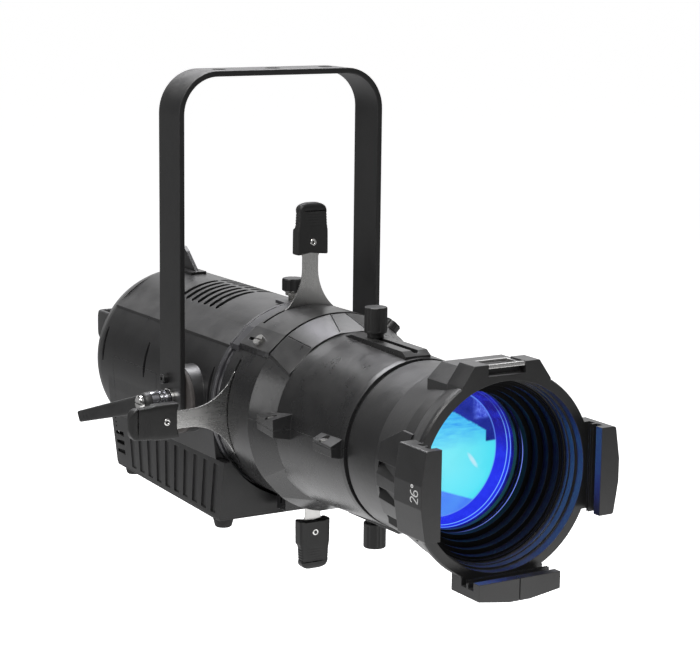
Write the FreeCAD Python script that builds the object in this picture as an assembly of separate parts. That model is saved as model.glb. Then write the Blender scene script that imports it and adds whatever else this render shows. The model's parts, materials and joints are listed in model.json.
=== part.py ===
import FreeCAD, Part
import math
import os

# Ellipsoidal profile spotlight hung in a flat-bar yoke.
# Frame: +Z up, the beam leaves towards -Y (front), the tilt axis is parallel to X.
# Left is -X and right is +X. Angles in the XZ plane run from +X, with 90 straight up.
# The sizes are laid out from the crossing of the tilt axis and the optical axis. Each
# piece is shifted on saving, so the origin is the centre of the yoke's hanging hole.
# Millimetres and degrees.

Vector = FreeCAD.Vector
os.makedirs("parts", exist_ok=True)

# ------------------------------------------------------------------ shared sizes
# yoke
YOKE_W = 40.0            # width of the flat bar, along Y
YOKE_T = 5.0             # bar thickness
YOKE_HALF = 102.4        # outer half width
YOKE_IN = YOKE_HALF - YOKE_T
YOKE_TOP = 289.3         # top face
YOKE_BEND = 37.5         # outer bend radius
ORIGIN_Z = YOKE_TOP - YOKE_T / 2
HANG_R = 7.0             # centre hanging hole
SIDE_HOLE_R = 6.5        # hole each side of it
SIDE_HOLE_X = 54.0
STOP_R = 2.5             # stop screw shank
STOP_Y, STOP_Z = 7.0, 18.0
# tilt pivot
STUD_R = 5.0
STUD_HOLE_R = 5.06
BUSH_R = 7.0
DISC_R = 30.5            # friction disc
BOSS_X = 92.3            # outer face of the tilt bosses
# lamp housing
BODY_R = 84.0            # side radius
BODY_IN = 81.0           # inner radius
BODY_FIT = 80.9          # radius of parts that reach the inner wall
BODY_TOP = 84.6
BODY_Y0 = -44.0          # front end
BODY_Y1 = 186.0          # where the rear rim starts
RIM_Y = 202.0
RIM_R = 80.0
COVER_Y = 196.0          # seat of the rear cover
COVER_HEAD_Y = 199.4     # seat of the cover screw heads
FAIR_Z = -47.0           # where the housing meets the base box
SEAM_Z = 10.0            # top of the lower housing piece
SEAM_Y0, SEAM_Y1 = 65.0, 157.0
LOCK_Y = -38.0           # rotation lock
# base box
BASE_Y0, BASE_Y1 = -60.0, 171.0
BASE_BOT = -97.0
PLATE_BOT = -99.0
# gate
DRUM_R = 84.0
DRUM_IN = 80.0
SPIGOT_R = 76.0
SPIGOT_BORE = 76.06
GATE_Y0, GATE_Y1 = -55.3, -114.4
FLAT_DEG = 133.5         # direction of the cover's left flat
FLAT_SCREW_Y = -88.5     # screw in the left flat
GATE_KNOB_Y = -98.0      # knob on the right flat
# barrel
FACET_Y1 = -143.0
BARREL_R = 75.6
BARREL_Y1 = -244.4
BARREL_SEAM = 4.5
TUBE_R = 68.0
TUBE_BORE = 68.06
FOCUS_TOP_Y, FOCUS_BOTTOM_Y = -177.0, -180.0
# shutters: plane along Y, angle about Y, how far the blade is pushed in
SHUTTERS = {"top": (-68.0, 0.0, 0.0), "left": (-72.0, -90.0, 0.0),
            "bottom": (-76.0, 180.0, 29.0), "right": (-80.0, 90.0, 0.0)}
BLADE_T = 1.0
GUIDE_Z = 55.0
GUIDE_PIN_R = 2.5
PIN_HOLE_R = 2.55
# lens head
HEAD_Y0 = -248.5
HOLDER_Y0, HOLDER_Y1 = -345.0, -365.4
LIP_Y = -389.0
FRAME_HALF = 80.4        # half width of the 158.75 mm colour frame slot
LATCH_Y, LATCH_Z = -363.0, 86.9

SIDES = (-1, 1)
DIAGONALS = (45, 135, 225, 315)


# ------------------------------------------------------------------ helpers
def box(x0, x1, y0, y1, z0, z1):
    return Part.makeBox(abs(x1 - x0), abs(y1 - y0), abs(z1 - z0),
                        Vector(min(x0, x1), min(y0, y1), min(z0, z1)))


def cylinder(radius, start, direction, length):
    return Part.makeCylinder(radius, length, Vector(*start), Vector(*direction))


def cyl_x(radius, x0, x1, y=0.0, z=0.0):
    return cylinder(radius, (min(x0, x1), y, z), (1, 0, 0), abs(x1 - x0))


def cyl_y(radius, y0, y1, x=0.0, z=0.0):
    return cylinder(radius, (x, min(y0, y1), z), (0, 1, 0), abs(y1 - y0))


def cyl_z(radius, z0, z1, x=0.0, y=0.0):
    return cylinder(radius, (x, y, min(z0, z1)), (0, 0, 1), abs(z1 - z0))


def closed(vectors):
    return Part.makePolygon(vectors + vectors[:1])


def turn_x(points, y=0.0, z=0.0):
    """Solid of revolution about a line parallel to X from (x, radius) points."""
    profile = Part.Face(closed([Vector(x, y + r, z) for x, r in points]))
    return profile.revolve(Vector(0, y, z), Vector(1, 0, 0), 360)


def turn_y(points):
    """Solid of revolution about the Y axis from (radius, y) points."""
    profile = Part.Face(closed([Vector(r, y, 0) for r, y in points]))
    return profile.revolve(Vector(0, 0, 0), Vector(0, 1, 0), 360)


def turn_z(points, x=0.0, y=0.0):
    """Solid of revolution about a line parallel to Z from (radius, z) points."""
    profile = Part.Face(closed([Vector(x + r, y, z) for r, z in points]))
    return profile.revolve(Vector(x, y, 0), Vector(0, 0, 1), 360)


def polygon_y(y, points):
    """Closed polygon of (x, z) points in the plane at y."""
    return closed([Vector(x, y, z) for x, z in points])


def prism_x(points, x0, x1):
    """(y, z) outline pushed along X."""
    return Part.Face(closed([Vector(x0, y, z) for y, z in points])).extrude(Vector(x1 - x0, 0, 0))


def prism_y(points, y0, y1):
    """(x, z) outline pushed along Y."""
    return Part.Face(polygon_y(y0, points)).extrude(Vector(0, y1 - y0, 0))


def prism_z(points, z0, z1):
    """(x, y) outline pushed along Z."""
    return Part.Face(closed([Vector(x, y, z0) for x, y in points])).extrude(Vector(0, 0, z1 - z0))


def loft(*wires):
    """Ruled solid through the wires."""
    return Part.makeLoft(list(wires), True, True)


def outline(y, start, *steps):
    """Wire in the plane at y. A step is (x, z) for a line to that point, or
    (x, z, x, z) for an arc through the first point to the second."""
    edges = []
    here = Vector(start[0], y, start[1])
    for step in steps:
        end = Vector(step[-2], y, step[-1])
        if len(step) == 4:
            edges.append(Part.Arc(here, Vector(step[0], y, step[1]), end).toShape())
        else:
            edges.append(Part.makeLine(here, end))
        here = end
    return Part.Wire(edges)


def across(point):
    return (-point[0], point[1])


def symmetric(half):
    """Half outline followed by its mirror image; points at x = 0 aren't repeated."""
    return half + [across(point) for point in reversed(half) if point[0]]


def polar(radius, angle):
    """(x, z) point in the XZ plane."""
    return (radius * math.cos(math.radians(angle)), radius * math.sin(math.radians(angle)))


def radial(radius, r0, r1, angle, y):
    """Cylinder pointing away from the Y axis, from r0 to r1."""
    x, z = polar(1.0, angle)
    return cylinder(radius, (x * r0, y, z * r0), (x, 0, z), r1 - r0)


def mirror(shape):
    return shape.mirror(Vector(0, 0, 0), Vector(1, 0, 0))


def rot_y(shape, angle):
    shape = shape.copy()
    shape.rotate(Vector(0, 0, 0), Vector(0, 1, 0), angle)
    return shape


def moved(shape, x, y, z):
    shape = shape.copy()
    shape.translate(Vector(x, y, z))
    return shape


def fuse(first, *others):
    for other in others:
        first = first.fuse(other)
    return first.removeSplitter()


def cut(shape, *tools):
    for tool in tools:
        shape = shape.cut(tool)
    return shape


def cut_pair(shape, tool):
    return shape.cut(tool).cut(mirror(tool))


def fuse_pair(shape, part):
    return shape.fuse(part).fuse(mirror(part))


def soften(shape, radius, test):
    """Round the edges that pass the test, and keep the sharp solid if that fails."""
    edges = [edge for edge in shape.Edges if test(edge)]
    if not edges:
        return shape
    # The fillet can raise an error where a radius doesn't fit its edges.
    try:
        rounded = shape.makeFillet(radius, edges)
        if rounded.isValid() and rounded.Volume > 0:
            return rounded
    except Exception:
        pass
    return shape


def biggest(shape):
    return sorted(shape.Solids, key=lambda solid: -solid.Volume)[0]


def save(name, *solids):
    """Shift a piece to the origin and write its STEP file."""
    shape = solids[0] if len(solids) == 1 else Part.makeCompound(list(solids))
    if shape.ShapeType == "Compound" and len(shape.Solids) == 1:
        shape = shape.Solids[0]
    moved(shape, 0, 0, -ORIGIN_Z).exportStep("parts/%s.step" % name)


def save_pair(name, shape):
    save(name, shape, mirror(shape))


# ------------------------------------------------------------------ yoke
def yoke_slab(half, top, bend, bottom):
    """Solid arch as wide as the bar, with rounded upper corners."""
    inset = bend * (1 - math.sin(math.pi / 4))    # from the square corner to the arc's middle
    wire = outline(-YOKE_W / 2, (-half, bottom), (-half, top - bend),
                   (-half + inset, top - inset, -half + bend, top), (half - bend, top),
                   (half - inset, top - inset, half, top - bend), (half, bottom),
                   (-half, bottom))
    return Part.Face(wire).extrude(Vector(0, YOKE_W, 0))


def yoke_bar():
    bar = yoke_slab(YOKE_HALF, YOKE_TOP, YOKE_BEND, 0)
    bar = bar.cut(yoke_slab(YOKE_IN, YOKE_TOP - YOKE_T, YOKE_BEND - YOKE_T, -1))
    for side in SIDES:
        bar = bar.fuse(cyl_x(YOKE_W / 2, side * YOKE_IN, side * YOKE_HALF))
    bar = bar.removeSplitter()
    bar = soften(bar, 0.8, lambda edge: edge.Length > 30
                 and abs(abs(edge.CenterOfMass.y) - YOKE_W / 2) < 6.5)
    for side in SIDES:
        bar = cut(bar, cyl_x(BUSH_R, side * 90, side * 110),
                  cyl_x(STOP_R, side * 90, side * 110, STOP_Y, STOP_Z),
                  cyl_z(SIDE_HOLE_R, 270, 300, side * SIDE_HOLE_X))
    return bar.cut(cyl_z(HANG_R, 270, 300))


def stop_screw():
    head_r, head_x, socket_r, socket_x = 4.5, 107.5, 2.3, 104.6
    screw = fuse(cyl_x(STOP_R, 98.6, YOKE_HALF, STOP_Y, STOP_Z),
                 turn_x([(YOKE_HALF, 0), (YOKE_HALF, head_r), (head_x - 0.5, head_r),
                         (head_x, head_r - 0.5), (head_x, 0)], STOP_Y, STOP_Z))
    hexagon = [(STOP_Y + socket_r * math.cos(i * math.pi / 3),
                STOP_Z + socket_r * math.sin(i * math.pi / 3)) for i in range(6)]
    return screw.cut(prism_x(hexagon, socket_x, socket_x + 5))


save("yoke_bar", yoke_bar())
save_pair("yoke_stop_screws", stop_screw())
save_pair("pivot_bushes", turn_x([(96.4, STUD_HOLE_R), (96.4, 11.0), (YOKE_IN, 11.0),
                                  (YOKE_IN, BUSH_R), (YOKE_HALF, BUSH_R),
                                  (YOKE_HALF, STUD_HOLE_R)]))

# ------------------------------------------------------------------ lamp housing
# Corners of the raised flat on the left of the crowned top
FLAT_FOOT, FLAT_EDGE, FLAT_TOP = polar(BODY_R, 142.5), polar(85.4, 141.0), polar(82.6, 124.5)
COVER_SCREWS = [polar(72.0, angle) for angle in DIAGONALS]


def crowned(y0, y1, fairing):
    """Housing length: round sides and crowned top, with a round or a faired underside."""
    side_mid = polar(BODY_R, 161)
    if fairing:
        under = [(82.6, -22), (80, FAIR_Z), (-80, FAIR_Z), (-82.6, -22), (-BODY_R, 0)]
    else:
        under = [(0, -BODY_R, -BODY_R, 0)]
    wire = outline(y0, (-BODY_R, 0), side_mid + FLAT_FOOT, FLAT_EDGE, FLAT_TOP,
                   (0, BODY_TOP) + across(FLAT_TOP), across(FLAT_EDGE), across(FLAT_FOOT),
                   across(side_mid) + (BODY_R, 0), *under)
    return Part.Face(wire).extrude(Vector(0, y1 - y0, 0))


def housing_envelope():
    """Outside of the housing as one solid."""
    rim = turn_y([(0, BODY_Y1), (BODY_R, BODY_Y1), (83.6, 190.5), (82.6, 195.0), (81.2, 199.0),
                  (RIM_R, RIM_Y), (0, RIM_Y)])
    return fuse(crowned(BODY_Y0, BODY_Y1, False), crowned(BODY_Y0, BASE_Y1, True), rim)


def cut_vents(shell):
    slot_r, pitch, x0, x1 = 3.2, 11.8, 4.5, 38
    for i in range(7):
        y = 30.0 + pitch * i
        slot = box(x0, x1, y - slot_r, y + slot_r, 60, 100)
        slot = slot.fuse(cyl_z(slot_r, 60, 100, x0, y)).fuse(cyl_z(slot_r, 60, 100, x1, y))
        shell = cut_pair(shell, slot)
    # side slits with tapered ends
    for y in (181.0, 92.0, -36.0):
        slit = [(y - 1.0, 1.5), (y - 2.2, 8), (y - 2.2, 26), (y - 1.0, 34),
                (y + 1.0, 34), (y + 2.2, 26), (y + 2.2, 8), (y + 1.0, 1.5)]
        shell = cut_pair(shell, prism_x(slit, 74, 95))
    return shell


def housing_shell(envelope):
    bore = cyl_y(BODY_IN, BODY_Y0 - 1, 188.0).fuse(cyl_y(77.5, 180, 210))
    floor = FAIR_Z + 3
    fairing = prism_y([(80.6, -4), (79.4, -22), (77.0, floor), (-77.0, floor), (-79.4, -22),
                       (-80.6, -4)], BODY_Y0 + 3, BASE_Y1 - 3)
    shell = envelope.cut(bore).cut(fairing)
    # the bore would break out through the fairing's floor, so the floor is opened there
    for y0, y1 in ((BODY_Y0 + 6, 58.0), (72.0, 104.0), (114.0, 150.0)):
        shell = shell.cut(box(-66, 66, y0, y1, -90, FAIR_Z + 4))
    shell = shell.cut(box(-90, 90, BODY_Y0 - 5, BASE_Y1, -90, FAIR_Z))
    # cross tie that joins the two sides of the lower housing
    shell = shell.fuse(box(-68, 68, 149.0, 152.6, FAIR_Z, floor))
    shell = cut_vents(shell)
    # tilt bosses
    for side in SIDES:
        shell = shell.fuse(cyl_x(DISC_R - 0.3, side * 78.0, side * BOSS_X))
        shell = shell.cut(cyl_x(STUD_HOLE_R, side * 60, side * 100))
    shell = shell.cut(cyl_z(4.3, 70, 100, 0, LOCK_Y))
    for x, z in COVER_SCREWS:
        shell = shell.fuse(cyl_y(5.6, 176, COVER_Y, x, z))
        shell = shell.cut(cyl_y(2.0, 170, 198, x, z))
    return shell.removeSplitter().common(box(-120, 120, -60, 210, FAIR_Z, 120))


def rear_cover():
    """Shallow disc inside the rim, with slots that follow a circle."""
    cover = turn_y([(0, COVER_Y), (77.4, COVER_Y), (77.4, 200.0), (74.0, 202.6), (0, 204.0)])
    vent_r, pitch, slot_half = 52.0, 11.0, 2.0
    for i in range(-4, 5):
        z = i * pitch
        half = math.sqrt(vent_r ** 2 - z ** 2)
        cover = cover.cut(box(-half, half, 190, 210, z - slot_half, z + slot_half))
    for x, z in COVER_SCREWS:
        cover = cut(cover, cyl_y(2.05, 190, 210, x, z), cyl_y(5.2, COVER_HEAD_Y, 210, x, z))
    return biggest(cover)


def cover_screw(x, z):
    return fuse(cyl_y(2.0, 184, COVER_HEAD_Y, x, z), cyl_y(3.6, COVER_HEAD_Y, 201.8, x, z))


def rear_handle(cover):
    """Wide strap bowed across the back."""
    z0, z1 = 15.0, 43.0
    # left halves of the strap's outer and inner outline, (x, y)
    outside = symmetric([(-52, 204.2), (-60, 206), (-68.5, 222), (-69, 228), (-66, 234),
                         (-60, 237)])
    inside = symmetric([(-50, 208.0), (-56, 209.5), (-62.5, 222), (-62.6, 227), (-60.5, 230),
                        (-57, 231)])
    strap = prism_z(outside + inside[::-1], z0, z1)
    strap = soften(strap, 2.2, lambda edge: abs(edge.CenterOfMass.z - z0) < 0.1
                   or abs(edge.CenterOfMass.z - z1) < 0.1)
    for side in SIDES:
        strap = strap.fuse(box(side * 44, side * 54, 202.5, 208.0, 21, 37))
    return biggest(strap.cut(cover).removeSplitter())


def safety_loop(envelope):
    """Upright fin with an eye, on top near the back."""
    half = 2.0
    fin = prism_x([(143, 84), (166, 104), (172, 108), (184, 108), (190, 103), (193, 95),
                   (193, 84)], -half, half)
    fin = fuse(fin, box(-8, 8, 143, 193, 84.0, 87.0))
    fin = cut(fin, cyl_x(5.5, -5, 5, 178, 97), envelope)
    fin = soften(fin, 0.6, lambda edge: abs(abs(edge.CenterOfMass.x) - half) < 0.05
                 and edge.CenterOfMass.z > 90)
    return biggest(fin)


def hood(inner_r, crown_r, edge_r, y0, y1, edge_deg, crown_deg, end_deg):
    """Raised hood over the gate: crowned top, one flat each side."""
    inner_r += 0.02
    end, edge, top = polar(inner_r, end_deg), polar(edge_r, edge_deg), polar(crown_r, crown_deg)
    wire = outline(y0, end, edge, top, (0, crown_r) + across(top), across(edge), across(end),
                   (0, inner_r) + end)
    return Part.Face(wire).extrude(Vector(0, y1 - y0, 0))


def front_ring(main_housing):
    """Bearing ring at the front of the housing: the gate turns inside it."""
    ring = turn_y([(SPIGOT_BORE, -26), (BODY_IN, -26), (BODY_IN, BODY_Y0), (84.2, BODY_Y0),
                   (85.6, -45.2), (85.6, -48.4), (84.6, -49.4), (82.2, -49.4), (82.2, -51.0),
                   (83.2, -51.4), (83.2, -53.0), (82.0, -53.4), (82.0, -55.0),
                   (SPIGOT_BORE, -55.0)])
    collar = hood(84.25, 87.6, 87.6, -46.0, -61.4, 140.0, 126.0, 142.6)
    collar = collar.cut(turn_y([(85.9, -49.0), (95.0, -49.0), (95.0, -50.4), (85.9, -50.4)]))
    ring = ring.fuse(collar)
    pad = box(-13, 13, -46.5, -30, 84.7, 87.4).cut(cyl_y(BODY_TOP + 0.05, -60, 0))
    ring = ring.fuse(pad)
    ring = ring.cut(cyl_z(4.06, 60, 100, 0, LOCK_Y)).removeSplitter()
    return biggest(ring.cut(main_housing))


def friction_disc():
    """Disc between housing and yoke."""
    hole_r, outer_x = STUD_HOLE_R + 0.1, BOSS_X + 4.0
    return turn_x([(BOSS_X, hole_r), (BOSS_X, DISC_R - 1.1), (93.0, DISC_R),
                   (outer_x - 0.7, DISC_R), (outer_x, DISC_R - 0.7), (outer_x, 11.3),
                   (94.8, 11.3), (94.8, hole_r)])


envelope = housing_envelope()
shell = housing_shell(envelope)
main_housing = shell.cut(box(-120, 120, SEAM_Y0, SEAM_Y1, FAIR_Z - 1, SEAM_Z))
SEAM_GAP = 0.4
lower_housing = shell.common(box(-120, 120, SEAM_Y0 + SEAM_GAP, SEAM_Y1 - SEAM_GAP,
                                 FAIR_Z - 1, SEAM_Z - SEAM_GAP))
cover = rear_cover()
save("main_housing", biggest(main_housing))
save("lower_housing", *[solid for solid in lower_housing.Solids if solid.Volume > 50])
save("rear_cover", cover)
save("housing_screws", *[cover_screw(x, z) for x, z in COVER_SCREWS])
save("rear_handle", rear_handle(cover))
save("safety_loop", safety_loop(envelope))
save("housing_front_ring", front_ring(main_housing))
save_pair("friction_discs", friction_disc())

# ------------------------------------------------------------------ base box
FEET = [(-75.0, -49.0), (75.0, -49.0), (-62.0, 158.0), (62.0, 158.0)]
FOOT_SCREW_R = 2.0


def base_loft(y0, y1, top, bottom, front, back):
    """Tapered box; front and back give half widths at the top, at the waist and below."""
    waist = -60.0
    return loft(*[polygon_y(y, symmetric(list(zip((-a, -b, -c), (top, waist, bottom)))))
                  for y, (a, b, c) in ((y0, front), (y1, back))])


def base_shell():
    solid = base_loft(BASE_Y0, BASE_Y1, FAIR_Z, BASE_BOT, (80.0, 81.3, 85.0), (80.0, 78.4, 74.0))
    cavity = base_loft(BASE_Y0 + 3, BASE_Y1 + 1, FAIR_Z - 3, BASE_BOT - 1,
                       (77.0, 78.1, 81.6), (77.0, 75.4, 70.8))
    base = solid.cut(cavity)
    # room for the round housing above
    round_r = BODY_IN + 0.2
    base = cut(base, cyl_y(87.0, -70, BODY_Y0 + 0.5),
               cyl_y(round_r, -50, 150).common(box(-64, 64, -50, 150, -90, -40)),
               cyl_y(round_r, -50, -20))
    # shallow recesses that leave vertical ribs between them
    skin = solid.cut(base_loft(BASE_Y0, BASE_Y1, FAIR_Z + 3, BASE_BOT - 3,
                               (78.7, 80.0, 83.7), (78.7, 77.1, 72.7)))
    pitch, recess_half = 19.4, 5.2
    for i in range(10):
        y = -46.0 + pitch * i
        recess = box(-100, -40, y - recess_half, y + recess_half, -94.0, -51.0)
        base = cut_pair(base, recess.common(skin))
    # louvres, then small round holes, near the back edge of each side
    for i in range(3):
        z = -66.0 - 9.0 * i
        louvre = [(148, z - 1.5), (166, z - 1.5), (166, z + 1.5), (148, z + 3.5)]
        base = cut_pair(base, prism_x(louvre, -100, -60))
    for i in range(3):
        base = cut_pair(base, cyl_x(1.2, -100, -60, 163.0, -51.5 - 4.0 * i))
    return biggest(base)


def base_plate():
    y0, y1 = BASE_Y0 + 0.5, BASE_Y1 - 0.5
    plate = prism_z([(-84.6, y0), (84.6, y0), (73.6, y1), (-73.6, y1)], PLATE_BOT, BASE_BOT)
    for x in (-30, -10, 10, 30):
        for i in range(5):
            y = 20 + i * 12
            plate = plate.cut(box(x - 6, x + 6, y, y + 3, -100, -96))
    for x, y in FEET:
        plate = plate.cut(cyl_z(FOOT_SCREW_R, -100, -96, x, y))
    return biggest(plate)


def base_foot(x, y):
    pad = turn_z([(0, -107.0), (6.6, -107.0), (7.6, -106.0), (9.4, PLATE_BOT), (0, PLATE_BOT)],
                 x, y)
    return fuse(pad, cyl_z(FOOT_SCREW_R, PLATE_BOT, -96.2, x, y))


save("base_shell", base_shell())
save("base_plate", base_plate())
save("base_feet", *[base_foot(x, y) for x, y in FEET])

# ------------------------------------------------------------------ rear control panel
PANEL_Y0, PANEL_Y1 = 169.0, 172.0
WINDOW_Y = 171.0         # floor of the window recess
SOCKET_Y = 152.0         # inner end of the connectors
SOCKET_Z = -82.0
POWER_X, POWER_R = (-50.0, -21.0), 11.5
DATA_X, DATA_R = (12.0, 42.0), 9.5
BUTTON_Z = -61.0
BUTTON_X = [6.0 + 14.0 * i for i in range(4)]


def window(y1):
    return box(-56, -14, WINDOW_Y, y1, -67.5, -54.5)


def control_panel():
    panel = prism_y(symmetric([(-70.4, -50.4), (-66.8, -96.6)]), PANEL_Y0, PANEL_Y1)
    for places, radius, z in ((POWER_X, POWER_R, SOCKET_Z), (DATA_X, DATA_R, SOCKET_Z),
                              (BUTTON_X, 3.55, BUTTON_Z)):
        for x in places:
            panel = panel.cut(cyl_y(radius, 160, 180, x, z))
    return biggest(panel.cut(window(180)))


def menu_button(x):
    y1 = 174.6
    button = fuse(cyl_y(3.5, 165.0, y1, x, BUTTON_Z), cyl_y(4.6, 165.0, 166.4, x, BUTTON_Z))
    return soften(button, 0.5, lambda edge: abs(edge.CenterOfMass.y - y1) < 0.01)


def power_connector():
    body = turn_y([(0, SOCKET_Y), (POWER_R, SOCKET_Y), (POWER_R, PANEL_Y1), (12.8, PANEL_Y1),
                   (12.8, 175.5), (12.0, 176.3), (10.6, 176.3), (10.6, 162.0), (0, 162.0)])
    body = body.fuse(cyl_y(5.0, 160, 173.5))
    for angle in (0, 120, 240):
        body = body.fuse(rot_y(box(9.4, 10.7, 163, 175, -1.5, 1.5), angle))
    return body.removeSplitter()


def data_connector():
    """Socket with five pins."""
    body = turn_y([(0, SOCKET_Y), (DATA_R, SOCKET_Y), (DATA_R, PANEL_Y1), (11.6, PANEL_Y1),
                   (11.6, 173.6), (8.0, 173.6), (8.0, 160.0), (0, 160.0)])
    for i in range(5):
        x, z = polar(4.3, 210 + i * 60)
        body = body.fuse(cyl_y(0.8, 159, 168, x, z))
    return body.removeSplitter()


def power_supply():
    """Block inside the base, with slots across its top and a foot at each end."""
    supply = box(-58, 58, -20, 120, -92, -58)
    for i in range(6):
        supply = supply.cut(box(-50, 50, -10 + 20 * i, 20 * i, -60, -50))
    return fuse(supply, box(-64, 64, -10, 4, -97, -92), box(-64, 64, 96, 110, -97, -92))


PANE_Y1 = 172.6
save("control_panel", control_panel())
save("display_window", soften(window(PANE_Y1), 0.5,
                              lambda edge: abs(edge.CenterOfMass.y - PANE_Y1) < 0.01))
for number, x in enumerate(BUTTON_X, 1):
    save("menu_button_%d" % number, menu_button(x))
save("power_connectors", *[moved(power_connector(), x, 0, SOCKET_Z) for x in POWER_X])
save("data_connectors", *[moved(data_connector(), x, 0, SOCKET_Z) for x in DATA_X])
save("power_supply", power_supply())


# ------------------------------------------------------------------ light engine
def heat_sink():
    sink_r, fin_pitch, fin_half, front_y, rear_y = 69.0, 7.4, 1.4, 60, 148
    sink = cyl_y(sink_r, front_y, 71)
    fins = [box(i * fin_pitch - fin_half, i * fin_pitch + fin_half, 70, rear_y, -80, 80)
            for i in range(-9, 10)]
    sink = sink.fuse(Part.makeCompound(fins).common(cyl_y(sink_r, 62, rear_y)))
    sink = sink.cut(box(-90, 90, 50, 160, -90, -54))
    # three posts forward, and an arm to the housing wall on each side
    for angle in (90, 210, 330):
        x, z = polar(50, angle)
        sink = sink.fuse(cyl_y(3.0, 30, 61, x, z))
    for side in (1, -1):
        arm = box(side * 60, side * BODY_IN, front_y, 66, -6, 6)
        sink = sink.fuse(arm.common(cyl_y(BODY_FIT, 50, 80)))
    return biggest(sink.removeSplitter())


def lens(front_y, rear_y, radius, rear_sag, front_sag, rear_r, front_r):
    """Biconvex lens on the Y axis. The rim lies between front_y and rear_y, and each
    curved face has its own bulge and radius inside a flat seat."""
    def curve(y, sag, edge_r):
        return Part.Arc(Vector(0, y + sag, 0), Vector(edge_r * 0.5, y + sag * 0.752, 0),
                        Vector(edge_r, y, 0)).toShape()

    def line(r0, y0, r1, y1):
        return Part.makeLine(Vector(r0, y0, 0), Vector(r1, y1, 0))

    edges = [curve(rear_y, rear_sag, rear_r), line(rear_r, rear_y, radius, rear_y),
             line(radius, rear_y, radius, front_y), line(radius, front_y, front_r, front_y),
             curve(front_y, -front_sag, front_r),
             line(0, front_y - front_sag, 0, rear_y + rear_sag)]
    wire = Part.Wire(Part.__sortEdges__(edges))
    return Part.Face(wire).revolve(Vector(0, 0, 0), Vector(0, 1, 0), 360)


def condenser_lens():
    glass = lens(front_y=24.0, rear_y=30.0, radius=42.0, rear_sag=4.0, front_sag=13.0,
                 rear_r=38.0, front_r=38.0)
    return fuse(glass, turn_y([(39.0, 26.0), (54.0, 26.0), (54.0, 30.0), (39.0, 30.0)]))


FAN_HALF = 46
FAN_Y1 = 178
SPIDER_Y0 = 175.6        # front of the hub and spokes that carry the rotor


def fan_frame():
    frame = box(-FAN_HALF, FAN_HALF, 153, FAN_Y1, -FAN_HALF, FAN_HALF)
    frame = frame.cut(cyl_y(43.6, 150, 180))
    frame = frame.fuse(cyl_y(18.0, SPIDER_Y0, FAN_Y1))
    for angle in DIAGONALS:
        frame = frame.fuse(rot_y(box(16, 45, SPIDER_Y0, FAN_Y1, -2.5, 2.5), angle))
    frame = frame.fuse(cyl_y(2.0, 158, 177))
    for x in (-41, 41):
        for z in (-41, 41):
            frame = frame.cut(cyl_y(2.2, 150, 180, x, z))
    # arms that reach the housing wall
    for side in (1, -1):
        arm = box(side * FAN_HALF, side * 80.2, 160, 170, -5, 5)
        frame = frame.fuse(arm.common(cyl_y(BODY_FIT, 150, 180)))
    return biggest(frame.removeSplitter())


def fan_rotor():
    tip_r, blades = 42.6, 7
    rotor = cyl_y(19.0, 156.5, 174.6)
    blade = prism_z([(-1.2, 157.5), (1.2, 157.5), (13.2, 173.8), (10.8, 173.8)], 16.0, tip_r)
    for i in range(blades):
        rotor = rotor.fuse(rot_y(blade, i * 360.0 / blades))
    rotor = rotor.common(cyl_y(tip_r, 150, 180)).cut(cyl_y(2.05, 150, 180))
    return biggest(rotor.removeSplitter())


save("heat_sink", heat_sink())
save("led_board", fuse(cyl_y(42.0, 56.5, 60), box(-14, 14, 54.5, 57, -14, 14)))
save("condenser_lens", condenser_lens())
save("fan_frame", fan_frame())
save("fan_rotor", fan_rotor())

# ------------------------------------------------------------------ tilt and rotation controls
LEVER_X0, LEVER_X1 = -130.6, -105.2    # outer and inner end of the lever's hub


def tilt_stud():
    """Stud with a flange inside the lever and a slotted head outside it."""
    stud = fuse(cyl_x(STUD_R, -131.0, -72.0),
                turn_x([(LEVER_X1, 0), (LEVER_X1, 10.5), (-102.6, 10.5), (-102.6, 0)]),
                turn_x([(-134.0, 0), (-134.0, 5.6), (-133.0, 7.0), (LEVER_X0, 7.0),
                        (LEVER_X0, 0)]))
    return stud.cut(box(-135, -132.6, -7, 7, -0.8, 0.8))


def tilt_lever():
    """Grooved hub on the stud, with an arm that leans out, back and down."""
    hub = turn_x([(LEVER_X0, STUD_R), (LEVER_X0, 8.0), (-129.4, 9.3), (-124.6, 9.6),
                  (-124.0, 8.8), (-122.4, 8.8), (-121.8, 9.6), (-112.0, 9.6), (-111.4, 8.8),
                  (-110.0, 8.8), (-109.4, 9.6), (-106.4, 9.6), (LEVER_X1, 8.6),
                  (LEVER_X1, STUD_R)])
    root, tip = Vector(-118.5, 0.0, 0.0), Vector(-160.0, 66.0, -22.0)
    length = tip.sub(root).Length
    along = tip.sub(root)
    along.normalize()
    broad = along.cross(Vector(1, 0, 0))
    broad.normalize()
    thin = along.cross(broad)
    thin.normalize()
    # section corners as fractions of the half width and half thickness
    corners = ((-1, -0.6), (-0.8, -1), (0.8, -1), (1, -0.6),
               (1, 0.6), (0.8, 1), (-0.8, 1), (-1, 0.6))
    # distance from the root, width, thickness
    stations = ((0, 14.0, 10.0), (length * 0.3, 15.5, 8.6), (length * 0.75, 13.0, 7.4),
                (length - 2, 11.0, 6.8), (length, 9.0, 5.2))
    arm = loft(*[closed([root + along * distance + broad * (a * width / 2)
                         + thin * (b * thickness / 2) for a, b in corners])
                 for distance, width, thickness in stations])
    bore = cyl_x(STUD_R, -150, -60)
    lever = hub.fuse(arm.cut(bore)).cut(bore).removeSplitter()
    # clear the stud's head
    return biggest(lever.cut(turn_x([(-134.5, 0), (-134.5, 7.4), (LEVER_X0, 7.4),
                                     (LEVER_X0, 0)])))


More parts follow.
